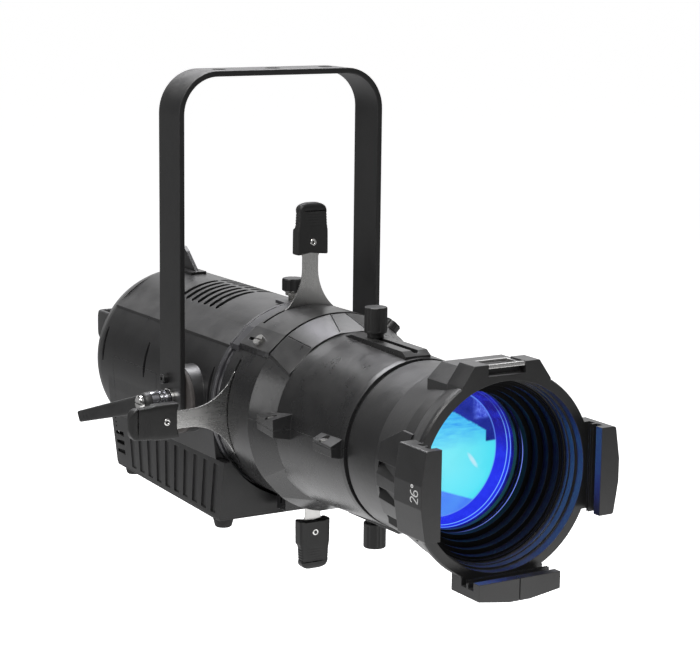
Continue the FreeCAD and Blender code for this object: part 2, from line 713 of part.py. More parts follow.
def tilt_knob():
    knob = soften(cyl_x(19.0, 108.0, 124.0), 1.6, lambda edge: edge.Length > 100)
    flute_ring = 22.0
    for i in range(8):
        angle = math.radians(22.5 + 45 * i)
        knob = knob.cut(cyl_x(5.0, 100, 130, flute_ring * math.cos(angle),
                              flute_ring * math.sin(angle)))
    return fuse(knob, cyl_x(10.5, 102.6, 108.5), cyl_x(STUD_R, 72.0, 104.0),
                cyl_x(9.0, 123.5, 126.0))


def rotation_lock_knob():
    """Fluted head on a stem, on top of the bearing ring."""
    knob = turn_z([(0, 76.2), (4.0, 76.2), (4.0, 92.0), (6.6, 92.0), (6.6, 94.4), (9.6, 96.4),
                   (9.6, 106.0), (8.8, 107.0), (0, 107.0)], 0, LOCK_Y)
    flute_ring = 12.4
    for i in range(6):
        angle = math.radians(60 * i)
        knob = knob.cut(cyl_z(4.0, 94.6, 110, flute_ring * math.cos(angle),
                              LOCK_Y + flute_ring * math.sin(angle)))
    return knob


save("tilt_lever_stud", tilt_stud())
save("tilt_lever", tilt_lever())
save("tilt_knob", tilt_knob())
save("rotation_lock_knob", rotation_lock_knob())

# ------------------------------------------------------------------ gate
SLOT_HALF = 1.7          # half width of the shutter slots, along Y
KNOB_DEG = 180 - FLAT_DEG
# The cover and the back of the barrel share these corners: (radius, angle)
COVER_EDGE, COVER_CROWN = (88.9, 138.6), (88.1, 124.6)


def gate_drum():
    lip_r = DRUM_IN + 0.5
    drum = turn_y([(DRUM_IN, GATE_Y0), (83.4, GATE_Y0), (DRUM_R, GATE_Y0 - 0.7),
                   (DRUM_R, GATE_Y1), (DRUM_IN, GATE_Y1)])
    web = turn_y([(41.0, -62.0), (DRUM_IN + 1, -62.0), (DRUM_IN + 1, -64.0), (41.0, -64.0)])
    spigot = turn_y([(72.5, -28.0), (SPIGOT_R, -28.0), (SPIGOT_R, GATE_Y0 - 2),
                     (lip_r, GATE_Y0 - 2), (lip_r, -64), (72.5, -64)])
    drum = drum.fuse(web).fuse(spigot)
    # raised frame around the bottom shutter slot
    drum = drum.fuse(box(-32.2, 32.2, -84, -69, -91, -78).cut(cyl_y(82.0, -90, -60)))
    for y, angle, _ in SHUTTERS.values():
        wide = box(-46.0, 46.0, y - SLOT_HALF, y + SLOT_HALF, 60, 85.5)
        tall = box(-30.0, 30.0, y - SLOT_HALF, y + SLOT_HALF, 60, 100)
        drum = drum.cut(rot_y(wide, angle)).cut(rot_y(tall, angle))
    # guide pivots in the rear web
    for name in ("top", "left", "bottom"):
        drum = drum.cut(rot_y(cyl_y(PIN_HOLE_R, -70, -60, 0, GUIDE_Z), SHUTTERS[name][1]))
    drum = biggest(drum.removeSplitter())
    return biggest(cut(drum, radial(2.0, 70, 95, FLAT_DEG, FLAT_SCREW_Y),
                       radial(2.06, 70, 95, KNOB_DEG, GATE_KNOB_Y)))


def aperture_plate():
    """Front plate of the gate, which also carries the right guide's pivot."""
    plate = turn_y([(38.0, -84.2), (DRUM_IN, -84.2), (DRUM_IN, -86.2), (40.0, -86.2)])
    plate = plate.cut(rot_y(cyl_y(PIN_HOLE_R, -90, -80, 0, GUIDE_Z), SHUTTERS["right"][1]))
    for angle in DIAGONALS:
        x, z = polar(72, angle)
        plate = plate.cut(cyl_y(2.0, -90, -80, x, z))
    return biggest(plate)


def gate_cover():
    (edge_r, edge_deg), (crown_r, crown_deg) = COVER_EDGE, COVER_CROWN
    cover = hood(84.02, crown_r, edge_r, -62.4, -113.6, edge_deg, crown_deg, 141.0)
    top_y = SHUTTERS["top"][0]
    cover = cover.cut(box(-46.0, 46.0, top_y - SLOT_HALF, top_y + SLOT_HALF, 60, 100))
    # round-ended slot along the left flat
    slot_r, slot_y0, slot_y1, slot_base = 1.6, -80.0, -70.5, 84.3
    slot = radial(slot_r, slot_base, 95, FLAT_DEG, slot_y1)
    slot = slot.fuse(radial(slot_r, slot_base, 95, FLAT_DEG, slot_y0))
    middle = Part.makeBox(2 * slot_r, slot_y1 - slot_y0, 11, Vector(-slot_r, slot_y0, slot_base))
    cover = cover.cut(slot.fuse(rot_y(middle, -(FLAT_DEG - 90.0))))
    cover = cover.cut(radial(2.0, 80, 95, FLAT_DEG, FLAT_SCREW_Y))
    knob_hole = radial(2.06, 80, 95, KNOB_DEG, GATE_KNOB_Y)
    cover = cover.cut(knob_hole)
    # boss under the knob
    boss = radial(9.5, 84.6, 91.0, KNOB_DEG, GATE_KNOB_Y)
    boss = cut(boss, cyl_y(84.6, -120, -60), knob_hole)
    return biggest(cover.fuse(boss).removeSplitter())


def gate_knob():
    knob = radial(2.0, 80.4, 92.0, KNOB_DEG, GATE_KNOB_Y)
    knob = knob.fuse(radial(8.2, 91.2, 97.6, KNOB_DEG, GATE_KNOB_Y))
    # flutes round the rim, spaced in the plane across the knob's axis
    x, z = polar(1.0, KNOB_DEG)
    for i in range(8):
        angle = math.radians(45 * i)
        aside, forth = 9.9 * math.cos(angle), 9.9 * math.sin(angle)
        start = (x * 90 - z * aside, GATE_KNOB_Y + forth, z * 90 + x * aside)
        knob = knob.cut(cylinder(2.5, start, (x, 0, z), 12))
    return knob.removeSplitter()


cover = gate_cover()
save("aperture_plate", aperture_plate())
save("gate_cover", cover)
save("gate_drum", gate_drum())
save("gate_knob", gate_knob())

# ------------------------------------------------------------------ barrel halves
# Corners of the cone's end sections on the left, as (radius, angle). The flats below
# lie on the side radius and start and end at the low angles, measured below the X axis.
CONE_BACK = {"side": (86.6, 140.4), "edge": COVER_EDGE, "crown": COVER_CROWN,
             "ridge": (88.1, 94.5), "low": (145.6, 127.8, 99.4)}
CONE_FRONT = {"side": (75.7, 145.9), "edge": (77.6, 144.1), "crown": (77.0, 122.2),
              "ridge": (77.0, 99.8), "low": (152.4, 118.0, 99.4)}
# Clamp lugs: y and (x, z) section at each end
LUGS = [((-126.0, [(-70, -5.0), (-84.0, -2.2), (-85.0, 9.6), (-70, 13.0)]),
         (-165.0, [(-70, -5.4), (-90.4, -1.6), (-91.0, 13.8), (-70, 17.2)])),
        ((-211.0, [(-66, -5.6), (-79.4, -2.6), (-80.0, 6.6), (-66, 13.6)]),
         (-241.6, [(-66, -5.6), (-80.4, -2.6), (-81.0, 6.4), (-66, 13.4)]))]
# Clamp screws: x, y, z of the head seat, z of the shank's end
LUG_SCREWS = [(side * x, y, seat, end)
              for x, y, seat, end in ((-83.0, -150.0, 9.6, -1.4), (-75.6, -223.0, 5.6, -1.6))
              for side in (1, -1)]


def cone_ring(y, corners):
    """Section of the cone: smooth sides, raised crown with a flat each side, flats below."""
    flip = lambda corner: (corner[0], 180.0 - corner[1])
    side, edge, crown, ridge = [corners[key] for key in ("side", "edge", "crown", "ridge")]
    side_r, side_deg = side
    low1, low2, low3 = corners["low"]
    # corner, and whether an arc leads on from it
    path = [(side, False), (edge, False), (crown, True), (ridge, False), (flip(ridge), True),
            (flip(crown), False), (flip(edge), False), (flip(side), True),
            ((side_r, low1 - 180), False), ((side_r, low2 - 180), True),
            ((side_r, low3 - 180), False), ((side_r, -low3), True), ((side_r, -low2), False),
            ((side_r, -low1), True), ((side_r, side_deg - 360), False)]
    steps = []
    for ((r0, deg0), curved), ((r1, deg1), _) in zip(path, path[1:]):
        middle = polar(r0, (deg0 + deg1) / 2.0) if curved else ()
        steps.append(middle + polar(r1, deg1))
    return outline(y, polar(*side), *steps)


def groove_section(y, radius, angle):
    """V-shaped groove section, widening outwards."""
    half = math.degrees(0.65 / radius)
    return polygon_y(y, [polar(radius + rise, angle + half * spread) for rise, spread in
                         ((-1.0, -0.5), (3.0, -1.6), (3.0, 1.6), (-1.0, 0.5))])


def faceted_cone():
    cone = loft(cone_ring(GATE_Y1, CONE_BACK), cone_ring(FACET_Y1, CONE_FRONT))
    # shadow grooves: at the cone's back edge and along the edges of the upper facets
    y0, y1 = GATE_Y1 + 1, GATE_Y1 - 1.5
    cone = cone.cut(turn_y([(86.9, y0), (95, y0), (95, y1), (86.9, y1)]))
    for key in ("edge", "crown", "ridge"):
        (r0, deg0), (r1, deg1) = CONE_BACK[key], CONE_FRONT[key]
        for flipped in (False, True):
            if flipped:
                deg0, deg1 = 180.0 - deg0, 180.0 - deg1
            cone = cone.cut(loft(groove_section(GATE_Y1 + 0.5, r0, deg0),
                                 groove_section(FACET_Y1 + 1.6, r1 + 0.6, deg1)))
    return cone


def whole_barrel():
    tube = turn_y([(0, FACET_Y1 + 6), (BARREL_R, FACET_Y1 + 6), (BARREL_R, FACET_Y1),
                   (74.4, -160), (72.2, -215), (71.4, -240), (70.8, BARREL_Y1), (0, BARREL_Y1)])
    barrel = faceted_cone().fuse(tube)
    # guide rails along the focus slots, top and bottom
    rail = prism_x([(-152, 60), (-146, 74), (-158, 77.0), (-236, 76.2), (-242, 72.5),
                    (-242, 60)], -12.0, 12.0)
    barrel = barrel.fuse(rail).fuse(rot_y(rail, 180))
    # wedge-shaped clamp lugs at the split line
    for back, front in LUGS:
        barrel = fuse_pair(barrel, loft(polygon_y(*back), polygon_y(*front)))
    barrel = cut(barrel, cyl_y(TUBE_BORE, -100, -250),
                 turn_y([(0, -110), (79.0, -110), (79.0, -118), (71.5, -134), (0, -134)]))
    slot_r, slot_y0, slot_y1 = 3.15, -236.0, -173.0
    slot = box(-slot_r, slot_r, slot_y0, slot_y1, 50, 90)
    slot = slot.fuse(cyl_z(slot_r, 50, 90, 0, slot_y1)).fuse(cyl_z(slot_r, 50, 90, 0, slot_y0))
    for angle in (0, 180):
        barrel = barrel.cut(rot_y(slot, angle))
    for x, y, seat, _ in LUG_SCREWS:
        # screw hole, and a seat left open to the outside for the driver
        outside = x + math.copysign(8, x)
        barrel = cut(barrel, cyl_z(2.0, -8, 20, x, y), cyl_z(4.1, seat, 24, x, y),
                     box(x, outside, y - 2.6, y + 2.6, seat + 0.8, 24))
    return barrel.removeSplitter()


def lug_screw(x, y, seat, end):
    screw = fuse(cyl_z(2.0, end, seat, x, y), cyl_z(3.6, seat, seat + 2.5, x, y))
    return screw.cut(box(x - 4, x + 4, y - 0.6, y + 0.6, seat + 1.5, seat + 4))


def flat_screw(gate_cover_shape):
    """Larger slotted screw in the left flat of the gate cover."""
    seat, top = 87.4, 91.4
    screw = fuse(radial(2.0, 81.0, seat, FLAT_DEG, FLAT_SCREW_Y),
                 radial(5.0, seat, top, FLAT_DEG, FLAT_SCREW_Y))
    kerf = Part.makeBox(1.4, 12, 3, Vector(-0.7, FLAT_SCREW_Y - 6, top - 1.2))
    return biggest(cut(screw, rot_y(kerf, -(FLAT_DEG - 90.0)), gate_cover_shape))


barrel = whole_barrel()
save("barrel_upper", biggest(barrel.common(box(-130, 130, -250, -100, BARREL_SEAM, 130))))
save("barrel_lower", biggest(barrel.common(box(-130, 130, -250, -100, -130,
                                               BARREL_SEAM - 0.35))))
save("barrel_screws", *[lug_screw(*place) for place in LUG_SCREWS], flat_screw(cover))

# ------------------------------------------------------------------ framing shutters
# Each part is drawn upright at y = 0, then moved to its plane and turned about Y.
TANG_HALF, TANG_Z = 11.2, 152    # end of the blade inside the grip
RIVET_Z = 143.5                  # hole through blade and grip
RIVET_R = 2.2


def blade_shape():
    """Blade with its cutting edge at the bottom and a waisted neck above."""
    wire = outline(-BLADE_T / 2, (-36, 42), (36, 42), (36, 76), (34.3, 78),
                   (14.8, 95.6, 7.9, 120), (7.9, 129), (8.75, 132.2, TANG_HALF, 134),
                   (TANG_HALF, TANG_Z), (-TANG_HALF, TANG_Z), (-TANG_HALF, 134),
                   (-8.75, 132.2, -7.9, 129), (-7.9, 120), (-14.8, 95.6, -34.3, 78),
                   (-36, 76), (-36, 42))
    blade = Part.Face(wire).extrude(Vector(0, BLADE_T, 0))
    return blade.cut(cyl_y(RIVET_R, -5, 5, 0, RIVET_Z))


def grip_shape():
    """Moulded grip: flat front face, thicker collar at the root, slim paddle, capped tip."""
    front = -5.6
    paddle = prism_y(symmetric([(0, 178), (-9.6, 177.4), (-12.9, 174.6), (-13.4, 172),
                                (-14.6, 155), (-14.9, 134)]), front, 2.8)
    collar = prism_y(symmetric([(-14.4, 155), (-15.2, 152), (-15.4, 132.6), (-11.6, 132.6),
                                (-11.0, 134.4)]), front, 5.6)
    cap = prism_y(symmetric([(0, 178), (-9.8, 177.4), (-13.2, 174.6), (-13.5, 171.0)]),
                  front, 3.8)
    grip = fuse(paddle, collar, cap)
    for i in range(5):
        z = 157.6 + 2.7 * i
        for side in SIDES:
            grip = grip.cut(box(side * 20, side * 13.6, -2.6, 1.2, z, z + 1.3))
    grip = grip.cut(cyl_y(RIVET_R, -20, 20, 0, RIVET_Z))
    return grip.cut(box(-TANG_HALF, TANG_HALF, -BLADE_T / 2, BLADE_T / 2, 120, TANG_Z))


def guide_shape(pin_y0, pin_y1):
    """Flat loop the blade slides through, with one pivot pin."""
    guide = box(-39.4, 39.4, -1.4, 1.4, 51, 59)
    guide = guide.cut(box(-36.08, 36.08, -0.55, 0.55, 40, 70))
    return fuse(guide, cyl_y(GUIDE_PIN_R, pin_y0, pin_y1, 0, GUIDE_Z))


for name, (y, angle, push) in SHUTTERS.items():
    # the right guide's pin points forward to the aperture plate, the others back to the web
    guide = guide_shape(-1.3, -6.1) if name == "right" else guide_shape(1.3, -62.1 - y)
    save("shutter_%s_blade" % name, rot_y(moved(blade_shape(), 0, y, -push), angle))
    save("shutter_%s_grip" % name, rot_y(moved(grip_shape(), 0, y, -push), angle))
    save("shutter_%s_guide" % name, rot_y(moved(guide, 0, y, 0), angle))

# ------------------------------------------------------------------ lens tube
LENS_Y = -309.0          # front rim of the front lens
BAFFLE_R = 72.0          # recess for the light baffle


def grip_block():
    """Raised block on the left side with saw-tooth finger grips."""
    block = turn_y([(70.0, -302.0), (78.6, -306.0), (80.6, HOLDER_Y0), (70.0, HOLDER_Y0)])
    block = block.common(prism_x([(-302, 22), (-330, 37), (HOLDER_Y0, 37), (HOLDER_Y0, -47),
                                  (-302, -44)], -90, -60))
    for angle in (172.8, 187.6, 205.0):
        tooth = [polar(84.0, angle), polar(72.6, angle), polar(84.0, angle + 12.0)]
        block = block.cut(prism_y(tooth, -341.0, -305.0))
    return block


def lens_tube():
    tube = turn_y([(65.4, -150.0), (TUBE_R, -150.0), (TUBE_R, HEAD_Y0), (69.4, HEAD_Y0),
                   (70.2, -250.0), (71.2, -292.0), (73.2, -304.0), (77.6, -330.0),
                   (79.2, HOLDER_Y0), (BAFFLE_R, HOLDER_Y0), (BAFFLE_R, LENS_Y), (60.2, LENS_Y),
                   (60.2, -302.0), (57.0, -302.0), (57.0, -298.0), (66.6, -288.0),
                   (66.6, -256.0), (64.5, -250.0), (64.5, -219.0), (50.0, -219.0),
                   (50.0, -216.0), (64.5, -216.0), (64.5, -204.0), (65.4, -202.0)])
    tube = fuse_pair(tube, grip_block())
    # top spine behind the frame retainer, with a ramp up to it
    spine = prism_y(symmetric([(-41, 60), (-41, 72.4), (-28, 84.6)]), -318.0, HOLDER_Y0)
    spine = spine.fuse(loft(polygon_y(-294, symmetric([(-20, 60), (-20, 70.2)])),
                            polygon_y(-318, symmetric([(-34, 60), (-28, 84.6)]))))
    tube = tube.fuse(spine.cut(cyl_y(BAFFLE_R, -400, -280)))
    tube = cut(tube, cyl_y(60.2, -302, LENS_Y - 0.1),
               turn_y([(0, LENS_Y), (BAFFLE_R, LENS_Y), (BAFFLE_R, -400), (0, -400)]),
               cyl_z(3.06, 60, 75, 0, FOCUS_TOP_Y), cyl_z(3.06, -75, -60, 0, FOCUS_BOTTOM_Y))
    return biggest(tube.removeSplitter())


def light_baffle():
    """Stepped sleeve in front of the front lens."""
    back, outer_r = LENS_Y - 0.05, BAFFLE_R - 0.05
    return turn_y([(57.5, back), (outer_r, back), (outer_r, HOLDER_Y0), (70.6, HOLDER_Y0),
                   (70.6, -342.5), (68.4, -342.5), (68.4, -335.0), (69.4, -335.0),
                   (69.4, -333.0), (65.2, -333.0), (65.2, -326.0), (66.2, -326.0),
                   (66.2, -324.5), (61.2, -324.5), (61.2, -317.5), (62.2, -317.5),
                   (62.2, -316.0), (57.5, -316.0)])


save("lens_tube", lens_tube())
save("front_lens", lens(front_y=LENS_Y, rear_y=-302.0, radius=60.1, rear_sag=5.0,
                        front_sag=12.0, rear_r=56.5, front_r=57.0))
save("rear_lens", lens(front_y=-216.0, rear_y=-212.0, radius=64.4, rear_sag=11.0,
                       front_sag=2.0, rear_r=59.0, front_r=49.0))
save("lens_retaining_ring", turn_y([(60.5, -207.5), (64.4, -207.5), (64.4, -212.0),
                                    (60.5, -212.0)]))
save("light_baffle", light_baffle())


# ------------------------------------------------------------------ colour frame holder
def holder_bore(front):
    """Stepped opening through the holder."""
    return turn_y([(0, -340), (72.6, -340), (72.6, -350), (73.4, -350), (73.4, -356.5),
                   (75.0, -356.5), (75.0, front), (0, front)])


def clip(half, lip_x):
    """Lipped clip on the left side, with two frame slots."""
    shape = prism_y([(-74.0, half), (-87.4, half), (-89.6, half * 0.62), (-91.6, half * 0.25),
                     (-91.6, -half * 0.25), (-89.6, -half * 0.62), (-87.4, -half),
                     (-74.0, -half)], -352.0, LIP_Y)
    return cut(shape, box(-FRAME_HALF, -60, HOLDER_Y1, -372.2, -60, 60),
               box(-FRAME_HALF, -60, -374.4, -381.6, -60, 60),
               box(-76.5, -60, -372.3, -374.3, -60, 60),
               box(-lip_x, -40, -381.5, -400, -60, 60),
               cyl_y(74.9, HOLDER_Y1 + 30, HOLDER_Y1 - 0.2),
               cyl_y(72.2, -300, -400), holder_bore(HOLDER_Y1))


def colour_frame_holder():
    """Ring, three lipped clips and the top block."""
    holder = turn_y([(72.6, HOLDER_Y0), (79.4, HOLDER_Y0), (81.4, -352.0), (83.2, -360.0),
                     (83.4, -363.6), (82.4, HOLDER_Y1), (75.0, HOLDER_Y1), (75.0, -356.5),
                     (73.4, -356.5), (73.4, -350), (72.6, -350)])
    side_half = 35.0
    side_clip = soften(clip(side_half, 72.4), 2.2,
                       lambda edge: abs(edge.CenterOfMass.y - LIP_Y) > 5
                       and abs(abs(edge.CenterOfMass.z) - side_half) < 0.2
                       and abs(edge.CenterOfMass.x + 87.4) < 0.3)
    holder = fuse_pair(holder, side_clip)
    bottom_clip = rot_y(clip(38.0, 73.0), -90)
    holder = holder.fuse(bottom_clip.cut(box(-0.4, 0.4, -395, -381.0, -95, -60)))
    # two small notches in the bottom clip
    holder = cut(holder, box(-32.4, -27.6, -372.0, -366.0, -100, -78),
                 box(-23.0, -19.0, -381.0, -376.0, -100, -78))
    block = prism_y(symmetric([(-41, 60), (-41, 73.4), (-30, 88.8)]), HOLDER_Y0, HOLDER_Y1)
    # latch recess in the top, with a window through the front face
    window_box = box(-17.2, 17.2, -357.5, -366.0, 79.6, 95.0)
    block = cut(block, cyl_y(75.0, -300, -400),
                box(-17.2, 17.2, HOLDER_Y0 + 1, -366.0, 84.9, 95.0), window_box)
    for side in SIDES:
        block = block.cut(cyl_x(1.56, side * 16.0, side * 21.0, LATCH_Y, LATCH_Z))
    holder = holder.cut(window_box).fuse(block).cut(holder_bore(HOLDER_Y1 - 0.1))
    return biggest(holder.removeSplitter())


def frame_latch():
    """Rectangular loop on a hinge pin."""
    half, z0, z1 = 16.8, 85.4, 87.4
    latch = fuse(box(-half, half, -361.3, -364.7, 85.3, 88.5),
                 box(14.2, half, -340.0, -362.0, z0, z1),
                 box(-half, -14.2, -340.0, -362.0, z0, z1),
                 box(-half, half, -340.0, -343.4, z0, z1),
                 cyl_x(1.5, -20.0, 20.0, LATCH_Y, LATCH_Z))
    return biggest(soften(latch, 0.7, lambda edge: edge.Length > 30
                          and abs(edge.CenterOfMass.x) < 0.1))


save("colour_frame_holder", colour_frame_holder())
save("frame_latch", frame_latch())


# ------------------------------------------------------------------ focus knobs
def focus_knob(y):
    """Upright fluted knob with its shoulder and stem."""
    knob = soften(cyl_z(9.6, 81.0, 102.8, 0, y), 1.0, lambda edge: edge.Length > 50)
    flutes, flute_ring = 7, 11.6
    for i in range(flutes):
        angle = math.radians(i * 360.0 / flutes)
        knob = knob.cut(cyl_z(2.6, 83.0, 110, flute_ring * math.cos(angle),
                              y + flute_ring * math.sin(angle)))
    return fuse(knob, cyl_z(7.0, 77.3, 81.2, 0, y), cyl_z(3.0, 64.8, 78.0, 0, y))


save("focus_knob_top", focus_knob(FOCUS_TOP_Y))
# half a turn about X brings the bottom knob under the barrel
bottom_knob = focus_knob(-FOCUS_BOTTOM_Y)
bottom_knob.rotate(Vector(0, 0, 0), Vector(1, 0, 0), 180)
save("focus_knob_bottom", bottom_knob)
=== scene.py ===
# Stage spotlight on a yoke, with four framing shutters round its beam. The optical axis lies
# along Y with the lens at -Y and the rear handle at +Y. The tilt axis lies along X and +Z is up.
# The CAD pieces are dressed in procedural materials, and some are replaced by finer meshes.
import json
import math

import bmesh
import bpy
from mathutils import Matrix, Vector


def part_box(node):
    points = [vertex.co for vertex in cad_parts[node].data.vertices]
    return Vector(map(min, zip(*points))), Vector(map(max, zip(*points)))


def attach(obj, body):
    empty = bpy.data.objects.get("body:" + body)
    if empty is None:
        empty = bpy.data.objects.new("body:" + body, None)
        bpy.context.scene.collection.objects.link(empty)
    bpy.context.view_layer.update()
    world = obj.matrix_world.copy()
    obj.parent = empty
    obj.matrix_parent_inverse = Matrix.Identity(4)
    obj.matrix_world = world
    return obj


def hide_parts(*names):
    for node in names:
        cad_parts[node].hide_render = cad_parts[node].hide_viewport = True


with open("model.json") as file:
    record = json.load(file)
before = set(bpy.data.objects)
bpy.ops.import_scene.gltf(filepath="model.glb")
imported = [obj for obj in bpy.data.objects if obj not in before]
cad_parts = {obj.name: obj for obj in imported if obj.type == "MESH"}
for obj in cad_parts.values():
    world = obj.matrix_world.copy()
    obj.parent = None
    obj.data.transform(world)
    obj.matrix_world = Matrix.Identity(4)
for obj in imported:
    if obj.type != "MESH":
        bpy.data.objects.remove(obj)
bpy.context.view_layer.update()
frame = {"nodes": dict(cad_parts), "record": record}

NODES = frame["nodes"]

# Mesh sizes are in millimetres from the crossing of the tilt axis and the
# optical axis, which lies this far under the frame's origin.
AXIS_Z = -286.8
MM = 0.001
WHITE = (1, 1, 1, 1)


def world_point(x, y, z):
    return Vector((x * MM, y * MM, (z + AXIS_Z) * MM))


# ------------------------------------------------------------------ node trees
class Nodes:
    """A node tree and short calls that add nodes to it. Inputs take a number, a socket or a node."""

    def __init__(self, owner, output):
        owner.use_nodes = True
        self.tree = owner.node_tree
        self.tree.nodes.clear()
        self.out = self.node(output)

    def put(self, socket, value):
        if isinstance(value, bpy.types.Node):
            value = value.outputs[0]
        if isinstance(value, bpy.types.NodeSocket):
            self.tree.links.new(value, socket)
        else:
            socket.default_value = value

    def node(self, kind, inputs=None, **props):
        made = self.tree.nodes.new("ShaderNode" + kind)
        for key, value in props.items():
            setattr(made, key, value)
        for key, value in (inputs or {}).items():
            self.put(made.inputs[key], value)
        return made

    def math(self, operation, first, second=None, clamp=False):
        inputs = {0: first} if second is None else {0: first, 1: second}
        return self.node("Math", inputs, operation=operation, use_clamp=clamp).outputs[0]

    def add(self, first, second, clamp=False):
        return self.math("ADD", first, second, clamp)

    def sub(self, first, second, clamp=False):
        return self.math("SUBTRACT", first, second, clamp)

    def mul(self, first, second, clamp=False):
        return self.math("MULTIPLY", first, second, clamp)

    def less(self, first, second):
        return self.math("LESS_THAN", first, second)

    def more(self, first, second):
        return self.math("GREATER_THAN", first, second)

    def wave(self, value, rate):
        return self.math("SINE", self.mul(value, rate))

    def hypot(self, first, second):
        return self.math("SQRT", self.add(self.mul(first, first), self.mul(second, second)))

    def span(self, value, start, end, to=(0.0, 1.0), smooth=False):
        """Maps start..end onto the range `to`, held at both ends."""
        made = self.node("MapRange", clamp=True)
        if smooth:
            made.interpolation_type = "SMOOTHSTEP"
        for i, item in enumerate((value, start, end, *to)):
            self.put(made.inputs[i], item)
        return made.outputs[0]

    def xyz(self, vector):
        return self.node("SeparateXYZ", {0: vector}).outputs


class Tree(Nodes):
    """A material's tree. Its finishing calls return the material."""

    def __init__(self, name):
        self.material = bpy.data.materials.new(name)
        super().__init__(self.material, "OutputMaterial")
        self.coords = self.node("TexCoord").outputs["Object"]

    def noise(self, scale, detail=2.0, rough=0.5, vector=None, distort=0.0):
        return self.node("TexNoise", {"Vector": vector or self.coords, "Scale": scale,
                                      "Detail": detail, "Roughness": rough,
                                      "Distortion": distort}).outputs["Fac"]

    def cells(self, scale):
        made = self.node("TexVoronoi", {"Vector": self.coords, "Scale": scale})
        return made.outputs["Distance"]

    def stretch(self, scale, turn=(0, 0, 0)):
        return self.node("Mapping", {"Vector": self.coords, "Scale": scale,
                                     "Rotation": turn}).outputs[0]

    def mix(self, amount, first, second):
        return self.node("Mix", {"Factor": amount, 6: rgba(first), 7: rgba(second)},
                         data_type="RGBA").outputs[2]

    def place(self):
        """Object x, y, z in metres."""
        return self.xyz(self.coords)

    def axis_place(self):
        """Object x, y, z in metres, with z from the tilt axis."""
        x, y, z = self.place()
        return x, y, self.sub(z, AXIS_Z * MM)

    def edges(self, radius):
        """Normal rounded at the edges, a mask of those edges, and the true normal."""
        bevel = self.node("Bevel", {"Radius": radius}, samples=4)
        normal = self.node("NewGeometry").outputs["Normal"]
        dot = self.node("VectorMath", {0: bevel, 1: normal}, operation="DOT_PRODUCT")
        return bevel.outputs[0], self.span(dot.outputs["Value"], 0.985, 0.86), normal

    def bump(self, height, strength, distance, normal=None):
        inputs = {"Height": height, "Strength": strength, "Distance": distance}
        if normal is not None:
            inputs["Normal"] = normal
        return self.node("Bump", inputs).outputs[0]

    def bsdf(self, **inputs):
        inputs = {key.replace("_", " "): value for key, value in inputs.items()}
        self.put(self.out.inputs[0], self.node("BsdfPrincipled", inputs))
        return self.material

    def emit(self, tone, strength):
        self.put(self.out.inputs[0], self.node("Emission", {"Color": tone, "Strength": strength}))
        return self.material

    def blend(self, amount, first, second):
        self.put(self.out.inputs[0], self.node("MixShader", {0: amount, 1: first, 2: second}))
        return self.material


def rgba(tone):
    if isinstance(tone, tuple) and len(tone) == 3:
        return (*tone, 1.0)
    if isinstance(tone, float):
        return (tone, tone, tone, 1.0)
    return tone


def grey(level, blue=1.03):
    return (level, level, level * blue)


def tinted(level, tint):
    return tuple(level * part for part in tint)


# ------------------------------------------------------------------ materials
def paint(name, base, rough, grain, wear, dust, grain_scale=650.0, edge_wear_and_highlight_tone=(0.16, 0.16, 0.165),
          spec=0.5, edge_radius=0.0007, peel=0.3, blue=1.03):
    """Satin powder coat: orange peel, fine grit, cloudy tone, settled dust and pale rubbed edges; set
    strong, the pale edge tone is a painted highlight along edges.
    """
    mat = Tree(name)
    rounded, edge, normal = mat.edges(edge_radius)
    cloud = mat.noise(11.0, detail=4, rough=0.6)
    mottle = mat.noise(85.0, detail=3, rough=0.55)
    tone = mat.mix(mat.span(cloud, 0.3, 0.7), grey(base * 0.80, blue), grey(base * 1.22, blue))
    tone = mat.mix(mat.span(mottle, 0.35, 0.75, to=(0, 0.35)), tone, grey(base * 1.45, blue))
    # pale edge tone: rubbed-off paint, and where set strong, a painted highlight along the edges
    rub = mat.mul(edge, mat.span(mat.noise(70.0, detail=5, rough=0.65), 0.42, 0.62), clamp=True)
    tone = mat.mix(mat.mul(rub, wear), tone, edge_wear_and_highlight_tone)
    upward = mat.xyz(normal)[2]
    settled = mat.mul(mat.span(upward, 0.35, 1.0),
                      mat.span(mat.noise(38.0, detail=6, rough=0.7), 0.38, 0.72))
    tone = mat.mix(mat.mul(settled, dust), tone, (0.30, 0.295, 0.285))
    scratch = mat.noise(1.0, detail=3, rough=0.6,
                        vector=mat.stretch((60, 900, 60), turn=(0.3, 0.2, 0.5)))
    gloss = mat.add(rough - 0.06, mat.mul(mat.noise(45.0, detail=3), 0.12))
    gloss = mat.add(gloss, mat.mul(settled, 0.16), clamp=True)
    gloss = mat.add(gloss, mat.span(scratch, 0.62, 0.70, to=(0, 0.03)), clamp=True)
    height = mat.add(mat.mul(mat.noise(grain_scale, detail=2, rough=0.6), 1.0),
                     mat.mul(mat.noise(grain_scale * 0.28, detail=1), peel * 2.0))
    return mat.bsdf(Base_Color=tone, Roughness=gloss,
                    Normal=mat.bump(height, strength=grain, distance=0.00022, normal=rounded),
                    Specular_IOR_Level=spec, Coat_Weight=0.0, Coat_Roughness=0.25)


